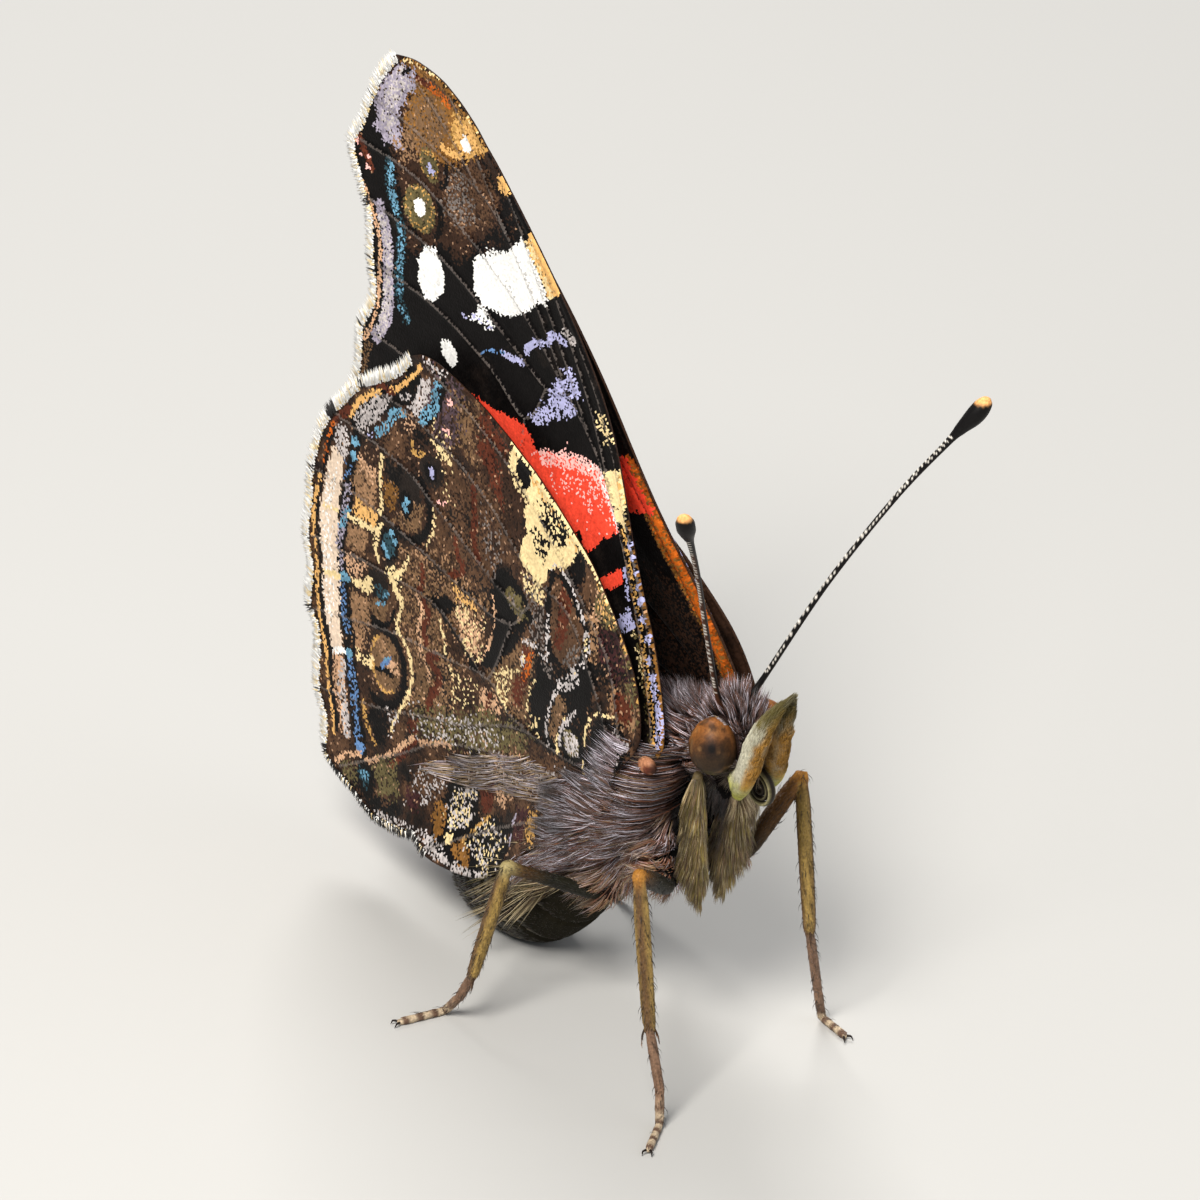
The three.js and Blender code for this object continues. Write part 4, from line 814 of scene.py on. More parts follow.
stroke black .85 .4 18.2,-5.4 18.6,-3.9 18.9,-2.6 18.7,-1.2 18.6,0 18.3,1.4 18.25,2.6 18,4 17.8,5.4
  17.5,6.5
stroke grey_lilac .5 .22 18.2,-5.4 18.6,-3.9 18.9,-2.6 18.8,-1.6
stroke blue .45 .22 18.7,-.8 18.65,.2 18.4,1.2
stroke blue .45 .26 18.25,2.6 18.05,3.8 17.9,4.8 17.8,5.8
stroke turquoise .6 .18 18.3,-4.3 18.6,-3.8 18.8,-3.4
spot turquoise .95 .34,.24 18.55,-1.15
spot turquoise .95 .3,.24 18.3,2.3
spot blue 1 .34,.26 17.65,6.35
patch pale_tan 1 .14 18.6,-6.5 19.3,-6.9 19.7,-5.6 20.1,-4.2 20.2,-2.4 20,-1.2 20,.2 19.85,1.2 19.4,2.6
  18.7,2.4 19,1 18.9,-1 19.1,-2.6 18.8,-4.4
patch white .3 .2 19,-6.2 19.7,-5 20.05,-2.6 19.9,.6 19.4,1.6 19.4,-2.6
patch peach .5 .2 18.7,2.6 19.4,2.7 19.3,4.4 19,6 18.4,6.2 18.6,4.4
stroke silver .75 .24 18.7,2.9 18.9,3.6 18.8,4.4 18.6,5.2 18.5,6
patch peach .5 .2 18.8,2.6 19.3,2.7 19.2,4.2 18.9,4.4
stroke cream .95 .13 16.2,-4.05 17.9,-4 18.2,-4.1
stroke cream .9 .12 19,-4 19.9,-3.9
patch cream .95 .14 16.8,-1.8 17.3,-1.4 18.1,-1.25 18.1,-1 17.1,-.95 16.8,-1.2
stroke cream .95 .15 19,-1 19.8,-.85
patch cream .9 .14 16.6,1.7 17,2 17.8,2 17.8,2.3 16.9,2.4
stroke white .85 .15 18.7,2.3 19.3,2.6
stroke amber .9 .13 13.6,-12.35 14.2,-11.7 14.9,-11.05 15.5,-10.65
stroke amber .85 .14 16.2,-10.35 16.9,-9.95 17.7,-9.2 18.1,-8.7
stroke rust .9 .14 15.4,-10.6 16.2,-10.7 16.8,-10.5
stroke rust .95 .16 18.1,-9 18.6,-8.5 19.1,-8
stroke orange .75 .12 19.2,-7.8 19.55,-6.9 19.8,-5.9
stroke black .9 .1 19.1,-7.7 19.5,-6.7 19.9,-5.4 20.25,-4 20.35,-2.6 20.15,-1.4 20.15,.2 19.95,1.6
  19.6,2.6 19.6,3.8 19.3,5.4 19.2,6.2
stroke amber .8 .1 20.1,-5.2 20.5,-3.8 20.6,-2.8 20.4,-1.2 20.4,.2 20.15,1.8 19.85,2.8 19.8,4 19.5,5.4
  19.4,6.4
# lower part: hairy band, speckled lobe and the dark corner
patch olive .8 .4 6,.8 9,1.2 14,3.2 14.2,4.4 11,3.6 6,2
patch silver .22 .4 8,1.4 14,3.2 14.2,4.4 11,3.6 8,2.4
patch tan .9 .3 5.6,2 7.4,2.3 8.9,3.4 8.4,3.8 6.6,3.2
patch peach .6 .25 5.8,1.9 7.4,2.4 8.8,3.4 8.2,3.6 6.6,2.9
patch plum .9 .2 8.7,3.2 9.5,3.6 9.5,4.1 8.9,4
patch brown .8 .5 -.4,1 6,1.4 9,3.6 13,5.2 15,7.4 11,6 6,4 1,2.4
patch silver .3 .4 3,1.4 9.6,3.6 14,6.2 13.4,7.2 9,4.4 3,2.4
patch gold .75 .2 4.9,4 6,4.2 6,5.2 5.2,5.5
patch plum 1 .15 5.9,4.2 6.9,4.5 6.8,5.8 6.1,5.6
stroke grey_lilac .8 .12 6.9,4.9 7.05,5.5 7,6.2
patch peach .6 .2 7.3,4.3 8.5,4.3 8.6,5 7.8,5
patch rust 1 .15 8.6,4 9.5,4.1 9.6,5.3 9.4,5.9 8.9,5.8 8.6,5
patch black 1 .2 6.9,5.4 8.4,5.6 9.6,6.2 9.8,4.8 11.4,5.2 12.2,6.6 12.6,8.8 8.6,8.6 7.2,7.4
patch silver .2 .3 7.1,5.9 9.4,6.2 10.2,7.8 8.2,8.1
patch cream .16 .3 7.1,5.9 9.4,6.2 10.2,7.8 8.2,8.1
patch silver .42 .2 9.9,5.1 11.2,5.7 12,6.7 11.4,7.6 10.2,6.8
patch cream .22 .2 9.9,5.1 11.2,5.7 12,6.7 11.4,7.6 10.2,6.8
stroke gold .9 .07 8.9,5.9 9.8,6.8 10.4,7.6
patch gold_brown .9 .15 9.5,8 10.4,7.5 11,7.9 10.8,8.3 9.8,8.4
patch gold_brown .9 .15 11.8,6.6 12.4,6.7 12.7,7.4 12,8.2 11.6,7.7
spot cream 1 .3,.22 11.3,7.85
stroke silver .55 .2 7.9,8.1 9.4,8.6 11.2,8.75 12.4,8.6
patch silver .1 .3 12.4,5.2 14.2,6.2 14.6,7.8 13,7.6
patch plum .9 .2 13.5,6.8 14.5,7 14.4,7.7 13.6,7.6
stroke peach .85 .14 11.6,3.75 12.6,4.1 13.6,4.5
patch rust .9 .15 13.8,3.5 14.5,3.7 14.4,4.3 13.8,4.2
patch brown .95 .2 14.4,3.9 15.2,4.2 15.5,5.4 14.7,5
stroke rust .95 .17 13.9,4.5 14.5,5.2 15.1,5.9 15.6,6.4
stroke peach .9 .13 14.1,4.5 15.1,5.4 16.2,6.3 17.1,6.8
patch olive .9 .25 15.2,6 16.4,6.4 16.9,7.2 16.3,8.1 14.8,7.6
patch black .85 .3 14.6,8 16.6,8.2 18,7.4 18.4,8.2 16.9,9.2 15.2,9.1
patch black 1 .15 16.6,7.2 17.8,6.9 18,7.8 17.2,8.4 16.6,8.1
patch teal .85 .2 16.9,7.4 17.7,7.1 17.7,7.8 17.1,8.1
spot turquoise .6 .3,.25 17.3,7.5
stroke peach .8 .13 17.6,6.7 18.4,7 19.2,7.6
patch olive .7 .2 17.9,7.2 19,7.6 18.6,8.2 17.9,8.2
stroke silver .45 .25 11.4,8.6 13,8.3 15,8.8 16.4,9
""")
HINDWING_UPPER = marks("""
patch red .98 .25 19.6,-4.2 20.6,-4 20.7,0 20.3,3 19.9,7.4 17.9,8.4 18,6.4 18.4,3 18.7,-1
spot black 1 .32,.36 19.6,-2.6 19.6,0 19.4,2.6 19,5.2
spot blue .9 .3,.4 18,8
""")


def painted(marks, ground, u, v, seed):
    """One colour for each scale at a place in the wing's plane."""
    colours = ground.copy()
    edge = 0.6 * wander(u, v, 0.45, seed) + 0.4 * wander(u, v, 0.17, seed + 1)
    chance = rng.random(len(u))
    for kind, colour, share, size, points in marks:
        outline = np.array(points, dtype=float)
        reach = max(size) + MARK_BORDER
        low, high = outline.min(axis=0) - reach, outline.max(axis=0) + reach
        near = np.flatnonzero((u > low[0]) & (u < high[0]) & (v > low[1]) & (v < high[1]))
        a, b = u[near], v[near]
        soft = MARK_SOFTNESS
        if kind == "patch":
            distance, _ = line_distance(a, b, np.vstack([outline, outline[:1]]))
            signed = np.where(inside(a, b, outline), -distance, distance)
            soft = size[0]
        elif kind == "stroke":
            distance, _ = line_distance(a, b, catmull(outline, 5) if len(outline) > 2 else outline)
            signed = distance - size[0]
        elif kind == "spot":
            parts = [np.hypot((a - p[0]) / size[0], (b - p[1]) / size[1]) for p in outline]
            signed = (np.min(parts, axis=0) - 1) * min(size)
        else:
            parts = [np.abs(np.hypot(a - p[0], b - p[1]) - size[0]) for p in outline]
            signed = np.min(parts, axis=0) - size[1]
        cover = smoothstep(-signed + 0.9 * soft * edge[near], -soft, soft) * share
        if share < 1:
            chance[near] = rng.random(len(near))
        chosen = near[chance[near] < cover]
        colours[chosen] = COLOURS[colour]
    return colours


def mottled(u, v, tones, size, seed):
    """A ground of several tones that drift into each other."""
    level = 0.5 + 0.5 * (0.6 * wander(u, v, size, seed) + 0.4 * wander(u, v, size / 3, seed + 3))
    level = np.clip(level + 0.2 * (rng.random(len(u)) - 0.5), 0, 0.999) * (len(tones) - 1)
    low = level.astype(int)
    table = np.array([COLOURS[name] for name in tones])
    part = (level - low)[:, None]
    return table[low] * (1 - part) + table[low + 1] * part


SPECK_AND_GLINT_SHARE = 0.02
DOTTED_SHARE = 0.07
VEIN_HALF = 0.055
# nearest and farthest distance from a vein of the band painted darker as shadow
VEIN_SHADOW_BAND = (0.06, 0.16)


def scale_colours(sheet, u, v, upper):
    """The colours of all scales on one face of a wing."""
    ground = mottled(u, v, *sheet.grounds[upper])
    colours = painted(sheet.upper if upper else sheet.under, ground, u, v, 7 if upper else 3)
    bright = colours.max(axis=1)
    patchy = wander(u, v, 0.9, 57) + 0.5 * wander(u, v, 0.3, 59)
    chance = rng.random(len(u))
    middling = (bright > 0.03) & (bright < 0.3) & (not upper)
    # Pale scales sprinkled over the middle tones: partly the wing's own cream specks, partly painted glints.
    specks_and_glints = middling & (chance < SPECK_AND_GLINT_SHARE + 0.05 * np.clip(patchy, 0, 1))
    colours[specks_and_glints] = 0.45 * colours[specks_and_glints] + 0.55 * COLOURS["peach"]
    dotted = middling & (chance > 1 - DOTTED_SHARE - 0.16 * np.clip(-patchy, 0, 1))
    colours[dotted] *= 0.3
    dotted = (bright > 0.3) & (bright < 0.75) & (chance > 0.965)
    colours[dotted] *= 0.45
    strength = np.where(bright > 0.6, 0.4, 1.0)
    # On the underside the vein lines are painted grey, partly the veins' own colour and partly painted
    # highlight on their ridges; beside each vein a band is painted darker as shadow.
    for vein in sheet.veins:
        distance, _ = line_distance(u, v, vein)
        shadow_band = (distance > VEIN_SHADOW_BAND[0]) & (distance < VEIN_SHADOW_BAND[1])
        close = (distance < VEIN_HALF) & (rng.random(len(u)) < 0.9 * strength)
        colours[close] = 0.5 * colours[close] + 0.5 * COLOURS["soot" if upper else "grey"]
        painted_shadow = shadow_band & (rng.random(len(u)) < 0.6 * strength)
        colours[painted_shadow] *= 0.55
    drift = 0.24 * wander(u, v, 0.8, 51) + 0.16 * wander(u, v, 0.25, 53)
    grain = 0.4 * (rng.random(len(u)) - 0.5)
    return colours * np.clip(1 + (drift + grain) * strength, 0.2, 1.6)[:, None]


class Sheet:
    """One kind of wing: where it lies and how it is marked."""

    def __init__(self, kind, place, spread, edges, veins, under, upper, grounds, swing, inset):
        self.kind, self.place, self.spread = kind, place, spread
        self.costa, self.margin, self.hem = (catmull(edge, 10) for edge in edges)
        self.outline = np.vstack([self.costa[:-1], self.margin[:-1], self.hem[:-1]])
        self.veins = [catmull(vein, 5) for vein in veins]
        self.under, self.upper, self.grounds = under, upper, grounds
        self.swing, self.inset = swing, inset

    def turned(self, u, v, side):
        swing = self.swing if side > 0 else 0
        c, s = math.cos(swing), math.sin(swing)
        return self.place(u * c - v * s, u * s + v * c)

    def point(self, u, v, side, height=0.0):
        """A place on the sheet, raised from its middle by a height, in working millimetres."""
        y, z = self.turned(u, v, side)
        across = self.spread(y, z) - self.inset + height
        return np.stack([side * across, y, z], axis=-1)

    def relief(self, u, v, lift):
        """How far the outer face stands up over the veins and the front edge."""
        height = 0.05 * wander(u, v, 2.6, 41) + 0.02 * wander(u, v, 0.9, 43)
        for vein in self.veins:
            distance, place = line_distance(u, v, vein)
            ridge = lift * (1 - 0.45 * place) * np.exp(-(distance / 0.085) ** 2)
            height = np.maximum(height, height * 0.3 + ridge)
        distance, place = line_distance(u, v, self.costa)
        return height + 1.2 * lift * (1 - 0.6 * place) * np.exp(-((distance - 0.16) / 0.17) ** 2)


HINDWING_INSET = 0.12
# Tones of the ground, the size of its clouds and their seed, for the underside and for the upper side
FOREWING_GROUND = (("black", "black", "black", "soot"), 1.4, 5)
HINDWING_GROUNDS = (
    (("black", "soot", "umber", "brown", "brown"), 0.9, 21),
    (("black", "umber", "umber", "brown"), 2.2, 9),
)
FOREWING = Sheet(
    kind="forewing", place=forewing_place, spread=forewing_spread,
    edges=(FOREWING_COSTA, FOREWING_MARGIN, FOREWING_HEM), veins=FOREWING_VEINS,
    under=FOREWING_UNDER, upper=FOREWING_UPPER, grounds=(FOREWING_GROUND, FOREWING_GROUND),
    swing=LEFT_SWING, inset=0.0,
)
HINDWING = Sheet(
    kind="hindwing", place=hindwing_place, spread=hindwing_spread,
    edges=(HINDWING_COSTA, HINDWING_MARGIN, HINDWING_HEM), veins=HINDWING_VEINS,
    under=HINDWING_UNDER, upper=HINDWING_UPPER, grounds=HINDWING_GROUNDS,
    swing=0.0, inset=HINDWING_INSET,
)


def wing_sheet(sheet, side_name, side, scale_size, thickness, vein_lift):
    """A grid with one face for each wing scale, trimmed to the outline, bent, thickened and painted."""
    low, high = sheet.outline.min(axis=0) - scale_size, sheet.outline.max(axis=0) + scale_size
    columns, rows = (np.ceil((high - low) / scale_size)).astype(int)
    deselect()
    bpy.ops.mesh.primitive_grid_add(x_subdivisions=int(columns), y_subdivisions=int(rows), size=2)
    obj = bpy.context.object
    obj.name = obj.data.name = f"{sheet.kind}_{side_name}_sheet"
    flat = coordinates(obj.data)
    column = np.round((flat[:, 0] + 1) / 2 * columns)
    u = low[0] + column * scale_size
    v = low[1] + (flat[:, 1] + 1) / 2 * rows * scale_size + np.where(column % 2 == 1, scale_size / 2, 0)
    set_coordinates(obj.data, np.stack([u, v, np.zeros(len(u))], axis=1))

    # Faces outside the outline are taken away
    corners = corner_points(obj.data).reshape(-1, 4)
    centre_u, centre_v = u[corners].mean(axis=1), v[corners].mean(axis=1)
    outside = ~inside(centre_u, centre_v, sheet.outline)
    bpy.ops.object.mode_set(mode="EDIT")
    bpy.ops.mesh.select_mode(type="FACE")
    bpy.ops.mesh.select_all(action="DESELECT")
    bpy.ops.object.mode_set(mode="OBJECT")
    obj.data.polygons.foreach_set("select", outside)
    bpy.ops.object.mode_set(mode="EDIT")
    bpy.ops.mesh.delete(type="FACE")
    bpy.ops.mesh.select_all(action="SELECT")
    bpy.ops.object.mode_set(mode="OBJECT")

    # The rim is drawn to the outline, and the rest is loosened a little
    flat = coordinates(obj.data)
    corners = corner_points(obj.data).reshape(-1, 4)
    edges = np.sort(np.stack([corners, np.roll(corners, -1, axis=1)], axis=-1).reshape(-1, 2), axis=1)
    pairs, counts = np.unique(edges, axis=0, return_counts=True)
    rim = np.unique(pairs[counts == 1])
    loosen = (rng.random((len(flat), 2)) - 0.5) * 0.36 * scale_size
    loosen[rim] = 0
    flat[:, :2] += loosen
    closed = np.vstack([sheet.outline, sheet.outline[:1]])
    steps = np.linspace(0, 1, 12, endpoint=False)
    dense = np.concatenate([a + np.outer(steps, b - a) for a, b in zip(closed[:-1], closed[1:])])
    for start in range(0, len(rim), 400):
        part = rim[start:start + 400]
        gap = np.linalg.norm(flat[part, None, :2] - dense[None], axis=2)
        flat[part, :2] = dense[gap.argmin(axis=1)]

    # The sheet is bent to its place
    u, v = flat[:, 0], flat[:, 1]
    relief = sheet.relief(u, v, vein_lift)
    set_coordinates(obj.data, to_frame(sheet.point(u, v, side, relief)))
    count = len(corners)
    centre_u, centre_v = u[corners].mean(axis=1), v[corners].mean(axis=1)
    normals = np.empty(count * 3)
    obj.data.polygons.foreach_get("normal", normals)
    if normals.reshape(-1, 3)[:, 0].mean() * side < 0:
        obj.data.flip_normals()
    apply_modifier(obj, "SOLIDIFY", thickness=thickness / 1000, offset=-1.0, use_even_offset=False)
    mesh = obj.data
    paint_sheet(mesh, sheet, count, centre_u, centre_v)
    smooth_faces(obj)
    return obj


def paint_sheet(mesh, sheet, count, u, v):
    """Colours the outer faces with the underside's pattern and the inner ones with the upper side's."""
    totals = np.empty(len(mesh.polygons), dtype=np.int32)
    mesh.polygons.foreach_get("loop_total", totals)
    faces = np.zeros((len(mesh.polygons), 3))
    faces[:count] = scale_colours(sheet, u, v, False)
    faces[count:2 * count] = scale_colours(sheet, u, v, True)
    faces[2 * count:] = COLOURS["umber"]
    layer = mesh.color_attributes.new("Scales", "FLOAT_COLOR", "CORNER")
    values = np.ones((len(mesh.loops), 4))
    values[:, :3] = np.repeat(faces, totals, axis=0)
    layer.data.foreach_set("color", values.ravel())


# Body: one skin for head, thorax and abdomen, a coat's depth inside the forms it stands for

COAT_DEPTH = 0.42
HEAD_FORMS = (
    # middles and half sizes of head, crown, face, nape, neck and breast
    ((0, -0.12, 14.4), (1.2, 1.28, 1.45)), ((0, 0.12, 15.2), (0.85, 0.7, 0.65)),
    ((0, -0.75, 13.45), (0.72, 0.65, 0.5)), ((0, 0.4, 13.9), (1.4, 0.7, 1.05)),
    ((0, 1.3, 12.9), (0.85, 1.0, 1.1)), ((0, 0.5, 11.9), (0.9, 0.8, 1.2)),
)
# how far the painted shadow of that hollow reaches on the skin
HOLLOW_SHADOW_REACH = 3.2
ABDOMEN_COAT = 0.12
SKIN_VOXEL = 0.13
RING_SPACING = 1.35
RING_DEPTH = 0.045
FLOOR_GAP = 0.04
HIP_RINGS = ((0, 0.7), (0.5, 0.66), (1, 0.36))
HEM_HEIGHT = 10.8
HEM_FALL = 0.84
LEGS = {
    # trunk, hip, knee, ankle, bow of the foot, sole and tip
    "mid_right": (
        (-1.1, 3.2, 9.2), (-1.85, 1.75, 7.5), (-5, -0.17, 9.93), (-5.7, -1.68, 4), (-5.68, -2.3, 1.5),
        (-5.95, -2.6, 0), (-7.55, -3.83, 0),
    ),
    "mid_left": (
        (1.1, 3.2, 9.2), (1.85, 1.75, 7.5), (4.6, 1.3, 10.5), (3.2, -0.94, 4.78), (4.1, -0.4, 1.75),
        (4.46, -0.3, 0), (4.19, -2.08, 0),
    ),
    "hind_right": (
        (-1.1, 5.5, 8), (-1.6, 5.9, 5.2), (-5.5, 7.43, 7.26), (-6.75, 8.14, 2.41), (-6.8, 8.85, 1.2),
        (-6.9, 9.72, 0), (-8.95, 10.2, 0),
    ),
    "hind_left": (
        (1.1, 5.5, 8), (1.6, 5.9, 5.2), (4.9, 8.6, 7.2), (4.9, 11.4, 3.2), (4.7, 11.85, 1.5),
        (4.4, 12.4, 0), (4.3, 14.4, 0),
    ),
}
LEG_RINGS = (
    # the end that a ring is counted from, its share of the way to the next end, and its half width
    (0, 0.7, 0.32), (1, 0.08, 0.32), (1, 0.45, 0.38), (1, 0.8, 0.34), (1, 0.95, 0.28), (1, 1.0, 0.27),
    (2, 0.06, 0.24), (2, 0.2, 0.3), (2, 0.6, 0.3), (2, 0.93, 0.26), (2, 1.0, 0.19),
    (3, 0.08, 0.17), (3, 0.25, 0.2), (3, 0.95, 0.19),
    (4, 0.1, 0.165), (4, 0.3, 0.19), (4, 0.9, 0.17),
    (5, 0.06, 0.15), (5, 0.2, 0.165), (5, 0.38, 0.15), (5, 0.44, 0.165), (5, 0.62, 0.15), (5, 0.68, 0.16),
    (5, 0.88, 0.15), (5, 1.0, 0.07),
)
KNEE_RING, ANKLE_RING, HEEL_RING = 5, 10, 16
SPINE_SHARE = 0.08
THIGH_RINGS = 4
HIND_THIGH = 0.72
FOOT_RING_SPACING = 0.62
PALP = (
    # across, along, up, half width, half depth, lean to the animal's right
    (0.9, -1.2, 12.5, 0.28, 0.32, 0.0), (0.84, -1.48, 13.1, 0.46, 0.5, 0.06),
    (0.72, -1.86, 14.0, 0.5, 0.56, 0.2), (0.62, -2.25, 15.0, 0.5, 0.54, 0.3),
    (0.54, -2.55, 15.8, 0.44, 0.46, 0.3), (0.42, -2.88, 16.5, 0.34, 0.34, 0.26),
    (0.28, -3.2, 17.05, 0.22, 0.22, 0.2), (0.14, -3.44, 17.42, 0.07, 0.07, 0.15),
)
BRUSH = {
    "left": (
        (0.6, -0.2, 12.9, 0.62, 0.4), (0.56, 0.15, 12.1, 0.8, 0.54), (0.5, 0.65, 10.6, 0.82, 0.62),
        (0.46, 0.9, 9.3, 0.76, 0.66), (0.42, 1.1, 8.3, 0.6, 0.56), (0.38, 1.15, 7.4, 0.38, 0.4),
        (0.34, 1.15, 6.9, 0.14, 0.16),
    ),
    "right": (
        (-1.4, 0.55, 12.9, 0.36, 0.36), (-1.36, 0.7, 12.1, 0.46, 0.48), (-1.26, 0.82, 10.6, 0.5, 0.56),
        (-1.16, 0.95, 9.3, 0.5, 0.58), (-1.06, 1.05, 8.3, 0.42, 0.5), (-0.98, 1.05, 7.4, 0.3, 0.36),
        (-0.92, 1.05, 6.9, 0.12, 0.14),
    ),
}
PALP_COAT = 0.07
BRUSH_COAT = 0.18
ANTENNA_ROOT = (0.6, -0.1, 15.85)
ANTENNA_SHAPE = (
    # shares of the way across, along and up, and half width
    (-0.02, -0.02, -0.02, 0.16), (0.015, 0.01, 0.012, 0.15), (0.1, 0.05, 0.08, 0.12),
    (0.35, 0.3, 0.38, 0.115), (0.62, 0.6, 0.67, 0.115), (0.82, 0.82, 0.85, 0.14), (0.88, 0.88, 0.9, 0.24),
    (0.93, 0.935, 0.94, 0.36), (0.965, 0.968, 0.97, 0.36), (0.99, 0.99, 0.992, 0.24), (1, 1, 1, 0.06),
)
ANTENNA_RINGS = 72
ANTENNA_TIP = {"left": (7.6, -5.9, 28.8), "right": (-7.37, -5.52, 28.27)}


def body_point(across, behind, height):
    return NECK + np.array([across, 0, 0]) + behind * BODY_BACK + height * BODY_UP


def body_measures(points):
    """How far behind the neck and how high over the body's line points lie."""
    offset = points - NECK
    return offset @ BODY_BACK, offset @ BODY_UP


def thorax_route(shrink):
    route = []
    for behind, half, up, down in THORAX_SECTIONS:
        place = body_point(0, behind, (up - down) / 2 + thorax_sag(behind))
        route.append((*place, max(half - shrink, 0.3), max((up + down) / 2 - shrink, 0.3)))
    return route


def abdomen_route(shrink):
    return [(0, y, z, max(half - shrink, 0.25), max(high - shrink, 0.25))
            for y, z, half, high in ABDOMEN_SECTIONS]


def hollow_shadow_share(points, reach):
    """How deep a place lies in the hollow between the brush feet and the front of the thorax, where near
    black is painted as shadow.
    """
    outward = 0.77 * np.abs(points[:, 0]) + 0.63 * points[:, 1]
    return (1 - smoothstep(outward, reach, reach + 0.3)) * (1 - smoothstep(points[:, 2], 12.0, 13.4))


def skin():
    forms = [
        tube("thorax_form", catmull(thorax_route(COAT_DEPTH), 3), 24),
        tube("abdomen_form", catmull(abdomen_route(ABDOMEN_COAT), 4), 24),
        *(ellipsoid(centre, size) for centre, size in HEAD_FORMS),
    ]
    for trunk, hip, *_ in LEGS.values():
        start, way = np.array(trunk), np.array(hip) - np.array(trunk)
        forms.append(tube("hip_form", [(*(start + way * t), half) for t, half in HIP_RINGS], 14))
    body = join(forms, "body_skin")
    body.data.remesh_voxel_size = SKIN_VOXEL / 1000
    make_active(body)
    bpy.ops.object.voxel_remesh()
    apply_modifier(body, "SMOOTH", factor=0.5, iterations=6)
    points = working_points(body)
    centre = catmull(ABDOMEN_SECTIONS[:, :2], 12)
    lengths = np.concatenate([[0], np.cumsum(np.linalg.norm(np.diff(centre, axis=0), axis=1))])
    _, place = line_distance(points[:, 1], points[:, 2], centre)
    travelled = place * lengths[-1]
    on_abdomen = smoothstep(points[:, 1], 7.6, 8.6)
    step = np.mod(travelled / RING_SPACING, 1)
    squeeze = 1 - RING_DEPTH * on_abdomen * smoothstep(step, 0.72, 0.98)
    axis_y = np.interp(travelled, lengths, centre[:, 0])
    axis_z = np.interp(travelled, lengths, centre[:, 1])
    points[:, 0] *= squeeze
    points[:, 1] = axis_y + (points[:, 1] - axis_y) * squeeze
    points[:, 2] = axis_z + (points[:, 2] - axis_z) * squeeze
    points[:, 2] = np.maximum(points[:, 2], FLOOR_GAP)
    set_coordinates(body.data, to_frame(points))
    # The hollow between the brush feet and the thorax is painted near black as shadow.
    paint_points(body.data, "Coat", layered(
        TONES["skin"],
        (TONES["skin hollow shadow"], hollow_shadow_share(points, HOLLOW_SHADOW_REACH)),
        (TONES["skin abdomen"], on_abdomen),
    ))
    smooth_faces(body)
    return body


# Coat: bent spikes with three sides, standing on places drawn from a skin

HAIR_WIDTH = 0.042
HEAD_HAIR_WIDTH = 0.034
WING_HAIR_WIDTH = 0.036
BRUSH_HAIR_WIDTH = 0.04
PALP_SCALE_WIDTH = 0.046
SCALE_WIDTH = 0.09
FRINGE_WIDTH = 0.085
BRISTLE_WIDTH = 0.05
SPINE_WIDTH = 0.03


class Roots:
    """Places on a mesh's faces with their outward directions, drawn evenly by area."""

    def __init__(self, obj, count, keep=None):
        mesh = obj.data
        mesh.calc_loop_triangles()
        corners = np.empty(len(mesh.loop_triangles) * 3, dtype=np.int32)
        mesh.loop_triangles.foreach_get("vertices", corners)
        corners = corners.reshape(-1, 3)
        points = working_points(obj)
        normals = np.empty(len(mesh.vertices) * 3)
        mesh.vertices.foreach_get("normal", normals)
        normals = normals.reshape(-1, 3)
        a, b, c = (points[corners[:, k]] for k in range(3))
        weight = np.linalg.norm(np.cross(b - a, c - a), axis=1)
        if keep is not None:
            weight = weight * keep((a + b + c) / 3)
        chosen = rng.choice(len(corners), size=count, p=weight / weight.sum())
        s, t = rng.random(count), rng.random(count)
        over = s + t > 1
        s[over], t[over] = 1 - s[over], 1 - t[over]
        parts = np.stack([1 - s - t, s, t], axis=1)
        self.points = np.einsum("ij,ijk->ik", parts, points[corners[chosen]])
        self.normals = unit(np.einsum("ij,ijk->ik", parts, normals[corners[chosen]]))
        self.count = count


def bake_place(points):
    """A place for each root on an unwrap of the body's own shape: round it and along it."""
    behind, height = body_measures(points)
    turn = np.arctan2(points[:, 0], height + 0.3) / (2 * np.pi) + 0.5
    return np.stack([0.02 + 0.95 * turn, 0.02 + 0.95 * np.clip((behind + 4) / 24, 0, 1)], axis=1)


